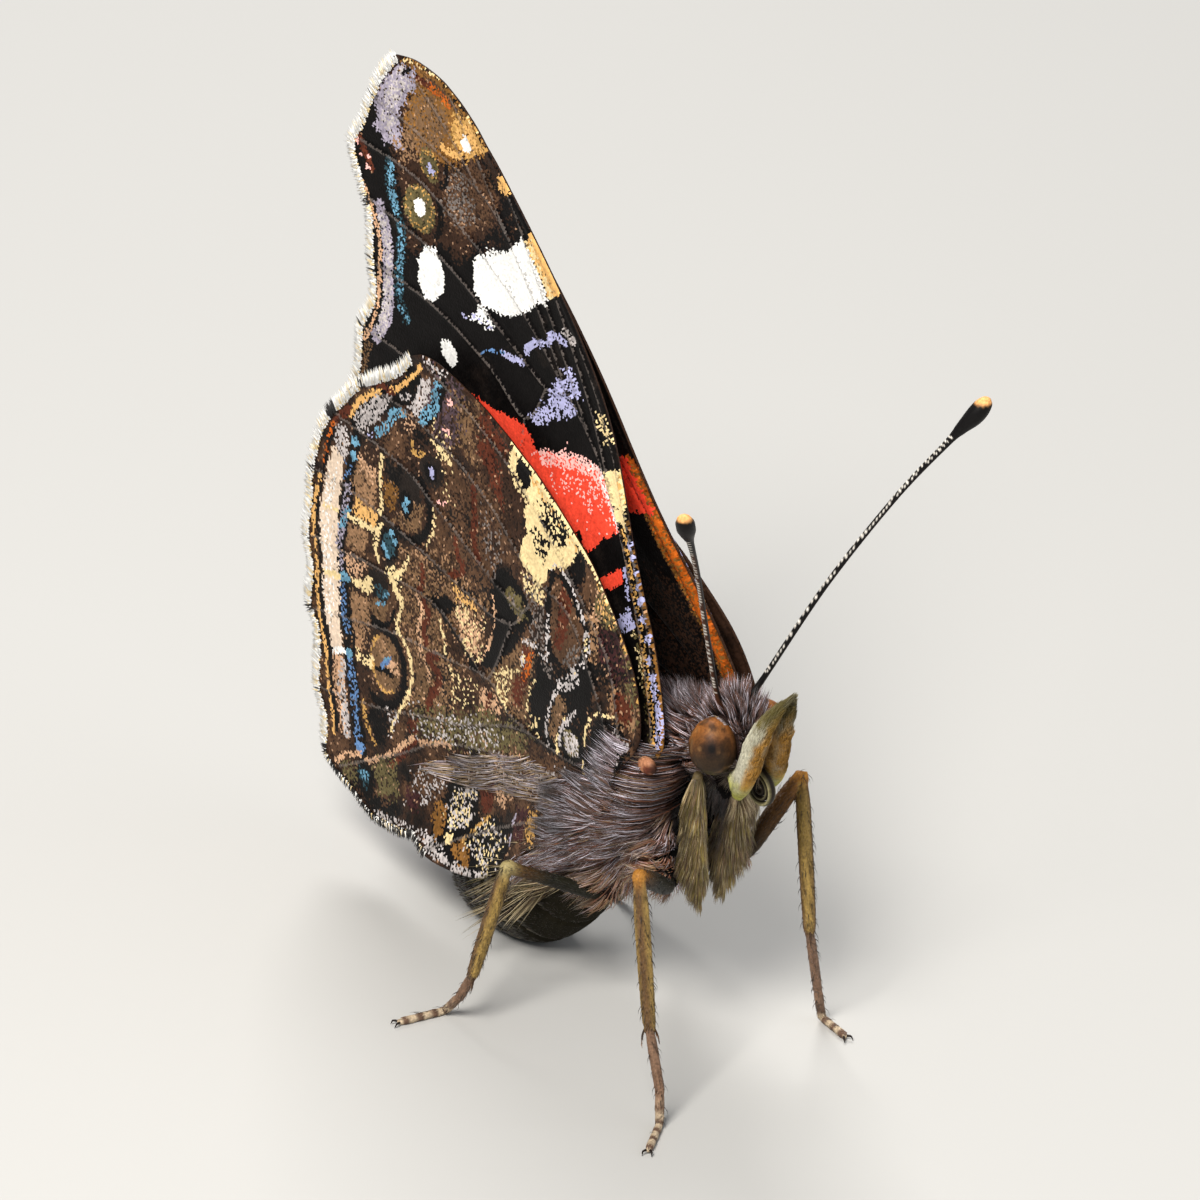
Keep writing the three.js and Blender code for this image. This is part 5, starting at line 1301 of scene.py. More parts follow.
def strands(name, roots, normals, leave, settle_to, length, width, base, tip,
            segments=2, sink=0.06, drift=None):
    """One mesh of bent spikes, which leave the skin one way, settle to another and drift to their lock."""
    count = len(roots)
    drift = np.zeros((count, 3)) if drift is None else drift
    length = np.broadcast_to(length, count)[:, None]
    width = np.broadcast_to(width, count)[:, None]
    leave, settle_to = unit(leave), unit(settle_to)
    across = unit(np.cross(leave, normals + 1e-3))
    above = np.cross(across, leave)
    rings = []
    uv = []
    colours = []
    centre = bake_place(roots)
    for level in range(segments):
        t = level / segments
        bent = leave * (t - t * t / 2) + settle_to * t * t / 2
        middle = roots - sink * normals + length * bent + drift * t
        radius = width * (1 - 0.75 * t ** 1.5) / 2
        for k in range(3):
            turn = 2 * math.pi * k / 3
            rings.append(middle + radius * (math.cos(turn) * across + math.sin(turn) * above))
            uv.append(centre + 0.003 * np.array([k / 3, t]))
            colours.append(base * (1 - t) + tip * t)
    rings.append(roots - sink * normals + length * (leave + settle_to) / 2 + drift)
    uv.append(centre + 0.003 * np.array([0.5, 1.0]))
    colours.append(tip)
    size = len(rings)
    points = np.stack(rings, axis=1).reshape(-1, 3)
    pattern = [(0, 2, 1)]
    for level in range(segments - 1):
        for k in range(3):
            a, b = level * 3 + k, level * 3 + (k + 1) % 3
            pattern += [(a, b, b + 3), (a, b + 3, a + 3)]
    top = (segments - 1) * 3
    pattern += [(top + k, top + (k + 1) % 3, size - 1) for k in range(3)]
    triangles = (np.arange(count)[:, None, None] * size + np.array(pattern)[None]).reshape(-1, 3)
    obj = mesh_from_triangles(name, points, triangles)
    paint_points(obj.data, "Coat", np.stack(colours, axis=1).reshape(-1, 3))
    layer = obj.data.uv_layers.new(name="OFBake")
    flat = np.stack(uv, axis=1).reshape(-1, 2)[corner_points(obj.data)]
    layer.data.foreach_set("uv", flat.ravel())
    return obj


FUR = {
    "brown": shade(104, 74, 62),
    "dark": shade(50, 35, 31),
    "grey": shade(120, 108, 114),
    # near-white lilac for hair tips: partly the hair's own lilac, partly painted glints
    "lilac": shade(228, 222, 234),
    "cream": shade(214, 196, 156),
    "tan": shade(150, 126, 92),
    "rust": shade(126, 74, 48),
    "olive": shade(112, 102, 66),
    "straw": shade(150, 132, 64),
    "black": shade(16, 13, 13),
    "coal": shade(38, 35, 24),
    "white": COLOURS["white"],
    "ivory": COLOURS["cream"],
}


def tints(count, **shares):
    """A colour for each of a number of strands, drawn from the fur's colours by their shares."""
    table = np.array([FUR[name] for name in shares])
    parts = np.array(list(shares.values()), dtype=float)
    picked = table[rng.choice(len(table), size=count, p=parts / parts.sum())]
    return picked * (0.8 + 0.4 * rng.random(count))[:, None]


def cloudy(points, size, seed):
    """Smooth noise at places in space."""
    return wander(points[:, 1], points[:, 2], size, seed, points[:, 0])


def clumped(points, size, seed):
    """A wavering direction that nearby strands share, so that they gather into locks."""
    return np.stack([cloudy(points, size, seed + k) for k in range(3)], axis=1)


def locks(points, count, pull):
    """Gathers strands into locks: each one's drift to its lock's middle, and a tone that its lock shares."""
    middles = points[rng.choice(len(points), size=count, replace=False)]
    nearest = np.empty(len(points), dtype=int)
    for start in range(0, len(points), 2000):
        part = slice(start, start + 2000)
        nearest[part] = np.linalg.norm(points[part, None] - middles[None], axis=2).argmin(axis=1)
    tones = 0.55 + 0.8 * rng.random(count)
    return pull * (middles[nearest] - points), tones[nearest][:, None]


def blended(first, second, share):
    share = np.asarray(share).reshape(-1, 1)
    return first * (1 - share) + second * share


def layered(colours, *layers):
    """Colours with more tones laid over them one after another, each by its own share."""
    for tone, share in layers:
        colours = blended(colours, tone, share)
    return colours


def thorax_fur(body, count):
    def keep(points):
        behind, _ = body_measures(points)
        x, y, z = points.T
        below_hem = (y > 7.4) & (y < 11.6) & (z > 2.2) & (np.abs(x) > 0.7)
        on_thorax = (behind > 0.6) & (behind < 10.2) & (z > 3.2) & (np.abs(x) < 2.6)
        front = (0.77 * np.abs(x) + 0.63 * y < 2.0) & (z < 12.0)
        under = HEM_HEIGHT - HEM_FALL * (y - HINDWING_ROOT[0]) - z
        tufted = below_hem & (under > -0.3) & (under < 2.3) & (wander(y, z, 0.5, 91, x) > 0.05)
        return np.where(on_thorax & ~front & ~below_hem, 1.0, 0.4 * tufted)

    roots = Roots(body, count, keep)
    x, y, z = roots.points.T
    behind, height = body_measures(roots.points)
    collar = 1 - smoothstep(behind, 1.2, 2.6)
    low = smoothstep(-height, 0.6, 2.2)
    rear = smoothstep(y + 0.8 * wander(y, z, 0.8, 66), 5.6, 7.2) * smoothstep(8.8 - z, 0.2, 1.4)
    shoulder = (1 - smoothstep(y, 1.8, 3.4)) * (1 - collar)
    fall = 0.18 + 0.4 * low + 0.15 * rear + 0.4 * shoulder
    flow = np.array([0, 1, 0]) + np.outer(fall, [0, 0, -1]) + np.outer(0.15 * np.sign(x), [1, 0, 0])
    flow = flow + 0.95 * clumped(roots.points, 1.1, 61) + 0.55 * clumped(roots.points, 0.42, 64)
    stand = (0.34 + 0.45 * collar + 0.25 * shoulder + 0.22 * rng.random(count))[:, None]
    flow = flow * (1 - 0.45 * collar[:, None]) + collar[:, None] * 0.5 * (BODY_UP + np.array([0, -0.35, 0.2]))
    leave = unit(flow) * (1 - stand) + roots.normals * stand
    droop = unit(unit(flow) + 0.1 * roots.normals)
    length = (1.2 + 0.8 * rng.random(count)) * (1 - 0.35 * collar - 0.4 * shoulder)
    length = length * (1 + 0.1 * low + 0.4 * rear)
    drift, tone = locks(roots.points, 520, 0.62)
    tone = 1.4 * tone
    base = tints(count, brown=4, dark=6, rust=1.6) * tone * 0.8
    # Tips run to near-white lilac, thickest in cloudy patches: partly the hair's own lilac, partly painted
    # glints.
    tip = tints(count, brown=5, lilac=3.6, grey=2, rust=1.8, dark=2) * tone
    pale = smoothstep(wander(y, z, 0.7, 73, x), 0.25, 0.75)
    tip = blended(tip, tints(count, lilac=4, grey=1) * tone, 0.55 * pale)
    warm = smoothstep(wander(y, z, 1.3, 75, x) + 0.6 * low, 0.1, 0.7) * 0.6
    base = blended(base, tints(count, rust=3, tan=1) * tone, warm)
    tip = blended(tip, tints(count, rust=3, tan=4, cream=1, dark=1) * tone, warm)
    base = blended(base, tints(count, tan=1, olive=2, dark=3), 0.8 * rear)
    tip = blended(tip, tints(count, cream=3, tan=2, olive=3), rear)
    top = 0.6 * smoothstep(height, 0.6, 1.8)
    tip = blended(tip, tints(count, grey=3, dark=2, lilac=1), top)
    # Fur in the hollow between the brush feet and the thorax is painted black and kept short, as painted
    # shadow.
    hollow = hollow_shadow_share(roots.points, 2.25)
    base = blended(base, tints(count, black=1), hollow)
    tip = blended(tip, tints(count, black=3, dark=1), hollow)
    length = length * (1 - 0.65 * hollow)
    half = count // 2
    for number, part in enumerate((slice(0, half), slice(half, count)), start=1):
        piece = strands(f"thorax_fur_{number}", roots.points[part], roots.normals[part], leave[part],
                        droop[part], length[part], HAIR_WIDTH, base[part], tip[part], segments=3,
                        drift=drift[part])
        settle(piece, fur_material(), "fur")


def head_fur(body, count):
    def keep(points):
        behind, _ = body_measures(points)
        mirrored = points * [0, 1, 1] + np.abs(points) * [1, 0, 0]
        by_eye = np.linalg.norm((mirrored - EYE_CENTRE) / (EYE_SIZE * 1.03), axis=1)
        return (behind < 1.0) & (points[:, 2] > 11.2) & (by_eye > 1)

    roots = Roots(body, count, keep)
    x, y, z = roots.points.T
    crown = smoothstep(z, 14.9, 15.5)
    throat = 1 - smoothstep(z + 0.5 * y, 12.6, 13.4)
    face = smoothstep(-y, 0.6, 1.2) * (1 - crown) * (1 - throat)
    rest = (1 - crown) * (1 - face) * (1 - throat)
    flow = (np.outer(crown, [0, 0.2, 1]) + np.outer(face, [0, -0.6, 0.7]) + np.outer(throat, [0, 0.1, -1])
            + np.outer(rest, [0, 0.5, 0.5]) + np.outer(0.3 * np.sign(x), [1, 0, 0]))
    flow = flow + 0.5 * clumped(roots.points, 0.5, 81)
    stand = (0.42 + 0.3 * crown - 0.12 * throat)[:, None]
    leave = unit(flow) * (1 - stand) + roots.normals * stand
    length = 0.3 + 0.35 * rng.random(count) + crown * (0.2 + 0.5 * rng.random(count)) + 0.45 * throat
    drift, tone = locks(roots.points, 300, 0.5)
    base = tints(count, brown=3, dark=6, rust=1) * tone
    tip = tints(count, grey=4, lilac=2, brown=4, dark=4, rust=1.2) * tone
    base = blended(base, tints(count, tan=3, olive=2, brown=2), throat)
    tip = blended(tip, tints(count, tan=3, cream=4, brown=1), throat)
    middle = (1 - smoothstep(np.abs(x + 0.6), 0.2, 0.45)) * throat
    base = blended(base, tints(count, black=1), middle)
    tip = blended(tip, tints(count, black=2, dark=2), middle)
    shadow = smoothstep(-y, 0.2, 0.8) * (1 - smoothstep(z, 14.6, 15.4)) * (1 - throat)
    base = blended(base, tints(count, black=2, dark=1), 0.85 * shadow)
    tip = blended(tip, tints(count, dark=3, brown=1, black=2), 0.8 * shadow)
    piece = strands("head_fur", roots.points, roots.normals, leave, flow, length, HEAD_HAIR_WIDTH, base, tip,
                    drift=drift)
    settle(piece, fur_material(), "fur")


def abdomen_scales(body, count):
    def keep(points):
        return ((points[:, 1] > 7.4) & (points[:, 2] > 0.02)).astype(float)

    roots = Roots(body, count, keep)
    centre_z = np.interp(roots.points[:, 1], ABDOMEN_SECTIONS[:, 0], ABDOMEN_SECTIONS[:, 1])
    flow = np.tile([0, 0.85, -0.3], (count, 1)) + 0.12 * clumped(roots.points, 0.9, 91)
    flow[:, 2] += 0.2 * np.sign(centre_z - roots.points[:, 2])
    leave = unit(flow) * 0.88 + roots.normals * 0.16
    length = 0.26 + 0.22 * rng.random(count)
    flecked = smoothstep(wander(roots.points[:, 1], roots.points[:, 2], 0.5, 93), 0.1, 0.7)
    base = tints(count, coal=6, dark=2)
    tip = tints(count, coal=7, dark=2, olive=1)
    tip = blended(tip, tints(count, cream=1, olive=2, coal=2), 0.6 * flecked)
    low = roots.points[:, 2] < 0.35
    leave[low, 2] = np.maximum(leave[low, 2], 0.0)
    flow[low, 2] = 0
    piece = strands("abdomen_scales", roots.points, roots.normals, leave, flow, length, SCALE_WIDTH,
                    base, tip, sink=0.02)
    lift_from_floor(piece)
    settle(piece, fur_material(), "abdomen")


def lift_from_floor(obj):
    points = coordinates(obj.data)
    points[:, 2] = np.maximum(points[:, 2], 0.00002)
    set_coordinates(obj.data, points)


# Eyes

EYE_INNER = 0.82
EYE_DOTS = ((0.8, -0.62), (0.5, -0.68), (0.7, -0.8))


def eye(side_name, side):
    deselect()
    bpy.ops.mesh.primitive_uv_sphere_add(segments=64, ring_count=40, radius=1)
    obj = bpy.context.object
    obj.name = obj.data.name = f"eye_{side_name}_dome"
    ball = coordinates(obj.data)
    ball = ball[:, [2, 1, 0]] * [side, 1, 1]
    points = EYE_CENTRE * [side, 1, 1] + ball * EYE_SIZE * [1, 0.97, 0.97]
    points[:, 0] = side * np.maximum(side * points[:, 0], EYE_INNER)
    set_coordinates(obj.data, to_frame(points))
    fix_normals(obj)
    out, forward, up = ball[:, 0] * side, -ball[:, 1], ball[:, 2]
    # Lighter and more orange towards the top and rear: painted light, mixed with cloudy mottling of the eye's
    # own colour.
    level = smoothstep(0.8 * up - 0.55 * forward - 0.1 * out + 0.35 * cloudy(ball, 0.55, 5), -0.55, 0.95)
    edge = smoothstep(0.75 - np.abs(out - 0.15), 0.0, 0.4) * (1 - smoothstep(np.abs(out), 0.0, 0.4))
    pupil = np.linalg.norm(ball - unit(np.array([side * 0.62, -0.62, 0.28])), axis=1)
    dots = []
    for across, rise in EYE_DOTS:
        place = unit(np.array([side * across, -0.75 * (1 - across), rise]))
        beyond = smoothstep(np.linalg.norm(ball - place, axis=1), 0.05, 0.12)
        dots.append((TONES["eye dot"], 0.8 * (1 - beyond)))
    colours = layered(
        TONES["eye low"],
        (TONES["eye lit"], level),
        (TONES["eye edge"], 0.35 * edge * smoothstep(up, -0.4, 0.6)),
        (TONES["eye belly"], 0.75 * smoothstep(-up, 0.5, 0.85)),
        (TONES["eye blotch"], 0.75 * smoothstep(cloudy(ball, 0.3, 17), 0.0, 0.45)),
        (TONES["eye bright"], 0.45 * smoothstep(cloudy(ball, 0.24, 19), 0.2, 0.7)),
        (TONES["eye speck"], 0.4 * smoothstep(cloudy(ball, 0.09, 23), 0.3, 0.8)),
        (TONES["eye halo"], 0.8 * (1 - smoothstep(pupil, 0.15, 0.6))),
        (TONES["eye pupil"], 1 - smoothstep(pupil, 0.1, 0.2)),
        *dots,
    )
    paint_points(obj.data, "Tint", colours)
    smooth_faces(obj)
    settle(obj, eye_material(), "eye", f"eye_{side_name}")


def eye_lashes(count):
    """The pale scales that stand round the edge of each eye."""
    turn = np.pi * (1.3 * rng.random(count) - 0.65)
    side = np.where(rng.random(count) < 0.5, 1, -1)
    ring_x = 0.88 + 0.1 * rng.random(count)
    reach = np.sqrt(np.maximum(1 - ((ring_x - EYE_CENTRE[0]) / EYE_SIZE[0]) ** 2, 0)) * 1.02
    outward = np.stack([np.zeros(count), np.cos(turn), np.sin(turn)], axis=1)
    points = np.stack([side * ring_x, EYE_CENTRE[1] + EYE_SIZE[1] * reach * outward[:, 1],
                       EYE_CENTRE[2] + EYE_SIZE[2] * reach * outward[:, 2]], axis=1)
    normals = unit(outward + np.outer(side * 0.3, [1, 0, 0]))
    leave = outward * 0.35 + np.outer(side, [0.8, 0, 0]) + 0.2 * clumped(points, 0.3, 101)
    base = tints(count, grey=2, tan=1)
    tip = tints(count, lilac=1, tan=2, grey=3)
    length = 0.12 + 0.12 * rng.random(count)
    piece = strands("eye_rims", points, normals, leave, leave, length, BRUSH_HAIR_WIDTH, base, tip)
    settle(piece, fur_material(), "fur")


# Feelers, palps, tongue and brush feet

TONGUE_TURNS = 3.3
TONGUE_PITCH = 0.22
TONGUE_HUB = 0.1
TONGUE_SHIFT = (0.08, 0.14)


def antenna(side_name, side):
    root = np.array(ANTENNA_ROOT) * [side, 1, 1]
    span = np.array(ANTENNA_TIP[side_name]) - root
    line = catmull(ANTENNA_SHAPE, 40)
    rows = np.column_stack([root + line[:, :3] * span, line[:, 3], line[:, 3]])
    obj = tube(f"antenna_{side_name}_shaft", rows, 12, hint=(1, 0.3, 0))
    points = working_points(obj)
    along = (points[:, 2] - root[2]) / span[2]
    axis = np.stack([np.interp(along, line[:, 2], root[k] + line[:, k] * span[k]) for k in range(3)], axis=1)
    outward = unit(points - axis)
    facing = outward @ unit(np.array([-0.6, 0.3, 0.5]))
    white = (np.mod(along * ANTENNA_RINGS, 1) < 0.3) & (facing > 0.25) & (along < 0.88) & (along > 0.08)
    rust = smoothstep(outward @ unit(np.array([side * 0.7, -0.3, -0.6])), 0.35, 0.9) * (along < 0.8)
    colours = np.tile(COLOURS["black"], (len(points), 1))
    colours = blended(colours, TONES["feeler rust"], 0.6 * rust)
    colours[white] = TONES["feeler ring"]
    paint_points(obj.data, "Tint", blended(colours, TONES["feeler tip"], smoothstep(along, 0.982, 0.993)))
    settle(obj, limb_material(), "antenna", f"antenna_{side_name}")


def palp(side_name, side, count):
    line = catmull([(side * x - lean, y, z, max(half - PALP_COAT, 0.06), max(deep - PALP_COAT, 0.06))
                    for x, y, z, half, deep, lean in PALP], 6)
    obj = tube(f"palp_{side_name}_core", line, 20, hint=(1, 0, 0))
    axis_line = line[:, :3]

    def colour_at(points):
        z = points[:, 2]
        axis = np.stack([np.interp(z, axis_line[:, 2], axis_line[:, k]) for k in range(3)], axis=1)
        outward = points - axis
        forward = -outward[:, 1] / 0.6 + 0.25 * wander(points[:, 0], z, 0.3, 7)
        forward = np.maximum(forward, -1.6 * side * outward[:, 0])
        rise = (z - PALP[0][2]) / (PALP[-1][2] - PALP[0][2])
        flank = layered(
            TONES["palp flank"],
            (TONES["palp flank high"], smoothstep(rise, 0.62, 0.76)),
            (TONES["palp shadow"], 0.45 * smoothstep(wander(points[:, 1], z, 0.5, 9), 0.1, 0.7)),
        )
        front = blended(TONES["palp front"], TONES["palp front high"], smoothstep(rise, 0.5, 0.85))
        colours = blended(flank, front, smoothstep(forward, 0.3, 0.8))
        return blended(TONES["palp base"], colours, smoothstep(rise, 0.0, 0.2))

    points = working_points(obj)
    paint_points(obj.data, "Tint", colour_at(points))
    roots = Roots(obj, count)
    tangent = unit(np.stack([np.interp(roots.points[:, 2], axis_line[:-1, 2], np.diff(axis_line[:, k]))
                             for k in range(3)], axis=1))
    flow = tangent + 0.16 * clumped(roots.points, 0.4, 111)
    front = smoothstep(-(roots.normals[:, 1]), 0.2, 0.8)
    shag = 1 - smoothstep(roots.points[:, 2], PALP[0][2] + 0.1, PALP[0][2] + 1.1)
    flow = flow + shag[:, None] * np.array([0, 0.5, 0.2])
    leave = unit(flow) * 0.85 + roots.normals * (0.24 + 0.2 * front + 0.2 * shag)[:, None]
    length = (0.3 + 0.24 * rng.random(count)) * (1 + 0.3 * shag)
    base = colour_at(roots.points) * (0.6 + 0.5 * rng.random(count))[:, None]
    tip = colour_at(roots.points) * (0.8 + 0.6 * rng.random(count))[:, None]
    coat = strands(f"palp_{side_name}_scales", roots.points, roots.normals, leave, flow, length,
                   PALP_SCALE_WIDTH, base, tip)
    settle(obj, limb_material(), "palp", f"palp_{side_name}")
    settle(coat, fur_material(), "palp")


def tongue():
    middle_y, middle_z = TONGUE_MIDDLE[1] + TONGUE_SHIFT[0], TONGUE_MIDDLE[2] + TONGUE_SHIFT[1]
    rows = []
    for t in np.linspace(0, 1, 120):
        turn = 2 * np.pi * TONGUE_TURNS * t
        radius = TONGUE_HUB + TONGUE_PITCH * TONGUE_TURNS * t
        rows.append((0, middle_y + radius * math.sin(turn), middle_z + radius * math.cos(turn),
                     0.2 * (0.6 + 0.4 * t), 0.1))
    obj = tube("tongue_coil", rows, 10)
    points = working_points(obj)
    reach = np.hypot(points[:, 1] - middle_y, points[:, 2] - middle_z)
    edge = smoothstep(np.abs(points[:, 0]), 0.12, 0.19) * (0.15 + 0.85 * smoothstep(reach, 0.35, 0.6))
    paint_points(obj.data, "Tint", blended(TONES["tongue"], TONES["tongue edge"], edge))
    settle(obj, limb_material(), "tongue", "proboscis")


def brush_foot(side_name, side, count):
    rows = BRUSH[side_name]
    line = catmull([(x, y, z, max(half - BRUSH_COAT, 0.08), max(deep - BRUSH_COAT, 0.08))
                    for x, y, z, half, deep in rows], 5)
    obj = tube(f"brush_{side_name}_core", line, 14)
    paint_points(obj.data, "Tint", TONES["brush"])
    roots = Roots(obj, count)
    middle = np.interp(-roots.points[:, 2], [-row[2] for row in rows], [row[0] for row in rows])
    outer = side * (roots.points[:, 0] - middle)
    drop = (rows[0][2] - roots.points[:, 2]) / (rows[0][2] - rows[-1][2])
    spread = 0.2 * smoothstep(outer, -0.1, 0.35) - 0.1 * smoothstep(-outer, 0.1, 0.4)
    flow = (np.tile([0, 0.1, -1.0], (count, 1)) + np.outer(side * spread, [1, 0, 0])
            + 0.16 * clumped(roots.points, 0.5, 121))
    leave = unit(flow) * 0.78 + roots.normals * 0.28
    length = (0.8 + 0.8 * rng.random(count)) * (1 - 0.4 * smoothstep(drop, 0.55, 1.0))
    drift, tone = locks(roots.points, 140, 0.45)
    half = max(row[3] for row in rows)
    # The faces turned towards the other brush get dark, shorter hair: painted shade in the slit between the
    # two brushes.
    inner = smoothstep(-outer / half, 0.42, 0.75)
    base = tints(count, tan=3, olive=4, brown=3) * tone * 0.7
    tip = tints(count, cream=2.4, tan=4, straw=5, brown=2) * tone
    tip = blended(tip, tints(count, olive=2, brown=2, dark=2) * tone, 0.9 * inner)
    base = blended(base, tints(count, black=2, dark=1), 0.9 * inner)
    length = length * (1 - 0.45 * inner)
    coat = strands(f"brush_{side_name}_hair", roots.points, roots.normals, leave, flow, length,
                   BRUSH_HAIR_WIDTH, base, tip, segments=3, drift=drift)
    settle(obj, limb_material(), "brush", f"foreleg_{side_name}")
    settle(coat, fur_material(), "brush")


# Legs: one limb each from hip to claws

def leg(name, count):
    trunk, hip, knee, ankle, bow, sole, tip = (np.array(place, dtype=float) for place in LEGS[name])
    heel, toe = sole + [0, 0, 0.17], tip + [0, 0, 0.16]
    ends = (trunk, hip, knee, ankle, bow, heel, toe)
    middle = name.startswith("mid")
    rows = []
    for number, (start, share, half) in enumerate(LEG_RINGS):
        thick = HIND_THIGH if number < THIGH_RINGS and not middle else 1.0
        rows.append((*(ends[start] + (ends[start + 1] - ends[start]) * share), half * thick))
    line = catmull(rows, 3)
    across = unit(np.cross(knee - hip, ankle - knee))
    obj = tube(f"{name}_limb", line, 14, hint=across, floor=0.0)
    lengths = np.concatenate([[0], np.cumsum(np.linalg.norm(np.diff(line[:, :3], axis=0), axis=1))])
    at_knee, at_ankle, at_heel = (lengths[3 * ring] for ring in (KNEE_RING, ANKLE_RING, HEEL_RING))
    front_left = name == "mid_left"

    def colour_at(points):
        gap = np.linalg.norm(points[:, None] - line[None, :, :3], axis=2).argmin(axis=1)
        run = lengths[gap]
        speck = wander(points[:, 0], points[:, 2], 0.12, 131, points[:, 1])[:, None]
        fleck = smoothstep(wander(points[:, 0], points[:, 2], 0.07, 137, points[:, 1]), 0.2, 0.7)
        flank = smoothstep(np.abs(np.sum((points - line[gap, :3]) * across, axis=1)), 0.1, 0.27)
        brown = (0.95 if front_left else 0.5) * smoothstep(run, at_knee - (4.5 if front_left else 2), at_knee)
        femur = blended(TONES["femur"] * (1 + 0.5 * speck), TONES["femur end"], brown)
        tibia = blended(TONES["tibia"], TONES["tibia flank"], flank) * (1 + 0.35 * speck)
        tibia = blended(tibia, TONES["tibia fleck"], 0.75 * fleck)
        rings = smoothstep(np.sin(2 * np.pi * (run - at_ankle) / FOOT_RING_SPACING), -0.3, 0.4)
        joints = blended(TONES["foot ring"], TONES["foot gap"], rings)
        first = blended(TONES["foot start"], TONES["foot fleck"], 0.7 * fleck)
        return layered(
            np.where((run < at_knee)[:, None], femur, tibia),
            (TONES["mid knee" if middle else "hind knee"], 0.85 * np.exp(-((run - at_knee) / 0.36) ** 2)),
            (blended(first, joints, 0.75 * smoothstep(run, at_heel - 1.2, at_heel)),
             smoothstep(run, at_ankle - 0.1, at_ankle + 0.1)),
        )

    paint_points(obj.data, "Tint", colour_at(working_points(obj)))
    limb = join([obj, *spurs(name, ankle, knee, across), *claws(name, heel, toe)], f"{name}_limb")
    settle(limb, limb_material(), "leg", f"{name}_femur", f"{name}_tibia", f"{name}_tarsus")

    roots = Roots(limb, count, lambda p: (np.linalg.norm(p - hip, axis=1) > 0.6) & (p[:, 2] > 0.25))
    gap = np.linalg.norm(roots.points[:, None] - line[None, :-1, :3], axis=2).argmin(axis=1)
    tangent = unit(np.diff(line[:, :3], axis=0))[gap]
    run = lengths[gap]
    spine = rng.random(count) < SPINE_SHARE
    leave = tangent * 0.8 + roots.normals * np.where(spine, 0.75, 0.2)[:, None]
    length = np.where(spine, 0.34 + 0.2 * rng.random(count), 0.13 + 0.1 * rng.random(count))
    width = np.where(spine, SPINE_WIDTH, BRISTLE_WIDTH)
    base = colour_at(roots.points) * (0.7 + 0.6 * rng.random(count))[:, None]
    tip = base * 1.15
    base[spine] = tip[spine] = TONES["spine"]
    coat = strands(f"{name}_bristles", roots.points, roots.normals, leave, tangent, length, width, base, tip,
                   sink=0.02)
    lift_from_floor(coat)
    settle(coat, fur_material(), "leg")


def horn(name, start, bend, end, thick, colour):
    line = catmull([(*start, thick), (*bend, thick * 0.75), (*end, 0.008)], 5)
    obj = tube(name, line, 6, hint=(0.3, 0.2, 1))
    paint_points(obj.data, "Tint", colour)
    return obj


def spurs(name, ankle, knee, across):
    down = unit(ankle - knee)
    made = []
    for sign in (-1, 1):
        start = ankle - 0.1 * down + sign * 0.15 * across
        made.append(horn(f"{name}_spur", start, start + 0.35 * down + sign * 0.16 * across,
                         start + 0.72 * down + sign * 0.22 * across, 0.05, TONES["spur"]))
    return made


def claws(name, heel, toe):
    ahead = unit((toe - heel) * [1, 1, 0])
    aside = np.cross(ahead, [0, 0, 1])
    made = []
    for sign in (-1, 1):
        start = toe - 0.08 * ahead + sign * 0.05 * aside
        made.append(horn(f"{name}_claw", start, start + 0.2 * ahead + sign * 0.12 * aside + [0, 0, 0.03],
                         start + 0.3 * ahead + sign * 0.14 * aside + [0, 0, -0.12], 0.055, TONES["claw"]))
    return made


# Fringes and wing hair

FRINGE_SPACING = 0.028


def fringe(sheet, side_name, side):
    """Flat blades along the wing's outer edge, white with dark groups at the vein ends."""
    edge = np.vstack([sheet.margin, sheet.hem[1:10]])
    lengths = np.concatenate([[0], np.cumsum(np.linalg.norm(np.diff(edge, axis=0), axis=1))])
    count = int(lengths[-1] / FRINGE_SPACING)
    run = (np.arange(count) + rng.random(count)) * FRINGE_SPACING

    def on_edge(way):
        return np.stack([np.interp(way, lengths, edge[:, k]) for k in (0, 1)], axis=1)

    spots = on_edge(run)
    u, v = spots.T
    du, dv = (on_edge(run + 0.25) - on_edge(run - 0.25)).T
    out = unit(np.stack([dv, -du], axis=1))
    out[np.sum((spots - sheet.outline.mean(axis=0)) * out, axis=1) < 0] *= -1
    ends = np.array([vein[-1] for vein in sheet.veins])
    gap = np.min(np.linalg.norm(spots[:, None] - ends[None], axis=2), axis=1)
    folded = smoothstep(v, 6.6, 7.4) * (sheet.kind == "hindwing")
    dark = smoothstep(0.34 + 0.14 * wander(u, v, 0.3, 141) - gap, -0.12, 0.12) > rng.random(count)
    dark |= rng.random(count) < 0.72 * folded
    length = (0.16 + 0.24 * rng.random(count)) * (1 - 0.3 * folded)
    lean = 0.35 * (rng.random(count) - 0.5)
    u1 = u + (out[:, 0] + lean * -out[:, 1]) * length
    v1 = v + (out[:, 1] + lean * out[:, 0]) * length
    inset = (0.14 + 0.22 * rng.random(count)) * (1 - 0.3 * folded)
    start = sheet.point(u - out[:, 0] * inset, v - out[:, 1] * inset, side, 0.03 + 0.04 * rng.random(count))
    end = sheet.point(u1, v1, side, 0.1 * rng.random(count) - 0.07)
    base = tints(count, white=3, ivory=1)
    tip = tints(count, white=6, ivory=1)
    base[dark] = COLOURS["black"]
    tip[dark] = COLOURS["soot"]
    normals = np.tile([side, 0, 0], (count, 1)).astype(float)
    piece = strands(f"{sheet.kind}_{side_name}_fringe", start, normals, end - start, end - start,
                    np.linalg.norm(end - start, axis=1), FRINGE_WIDTH, base, tip, sink=0.0)
    settle(piece, fur_material(), sheet.kind)


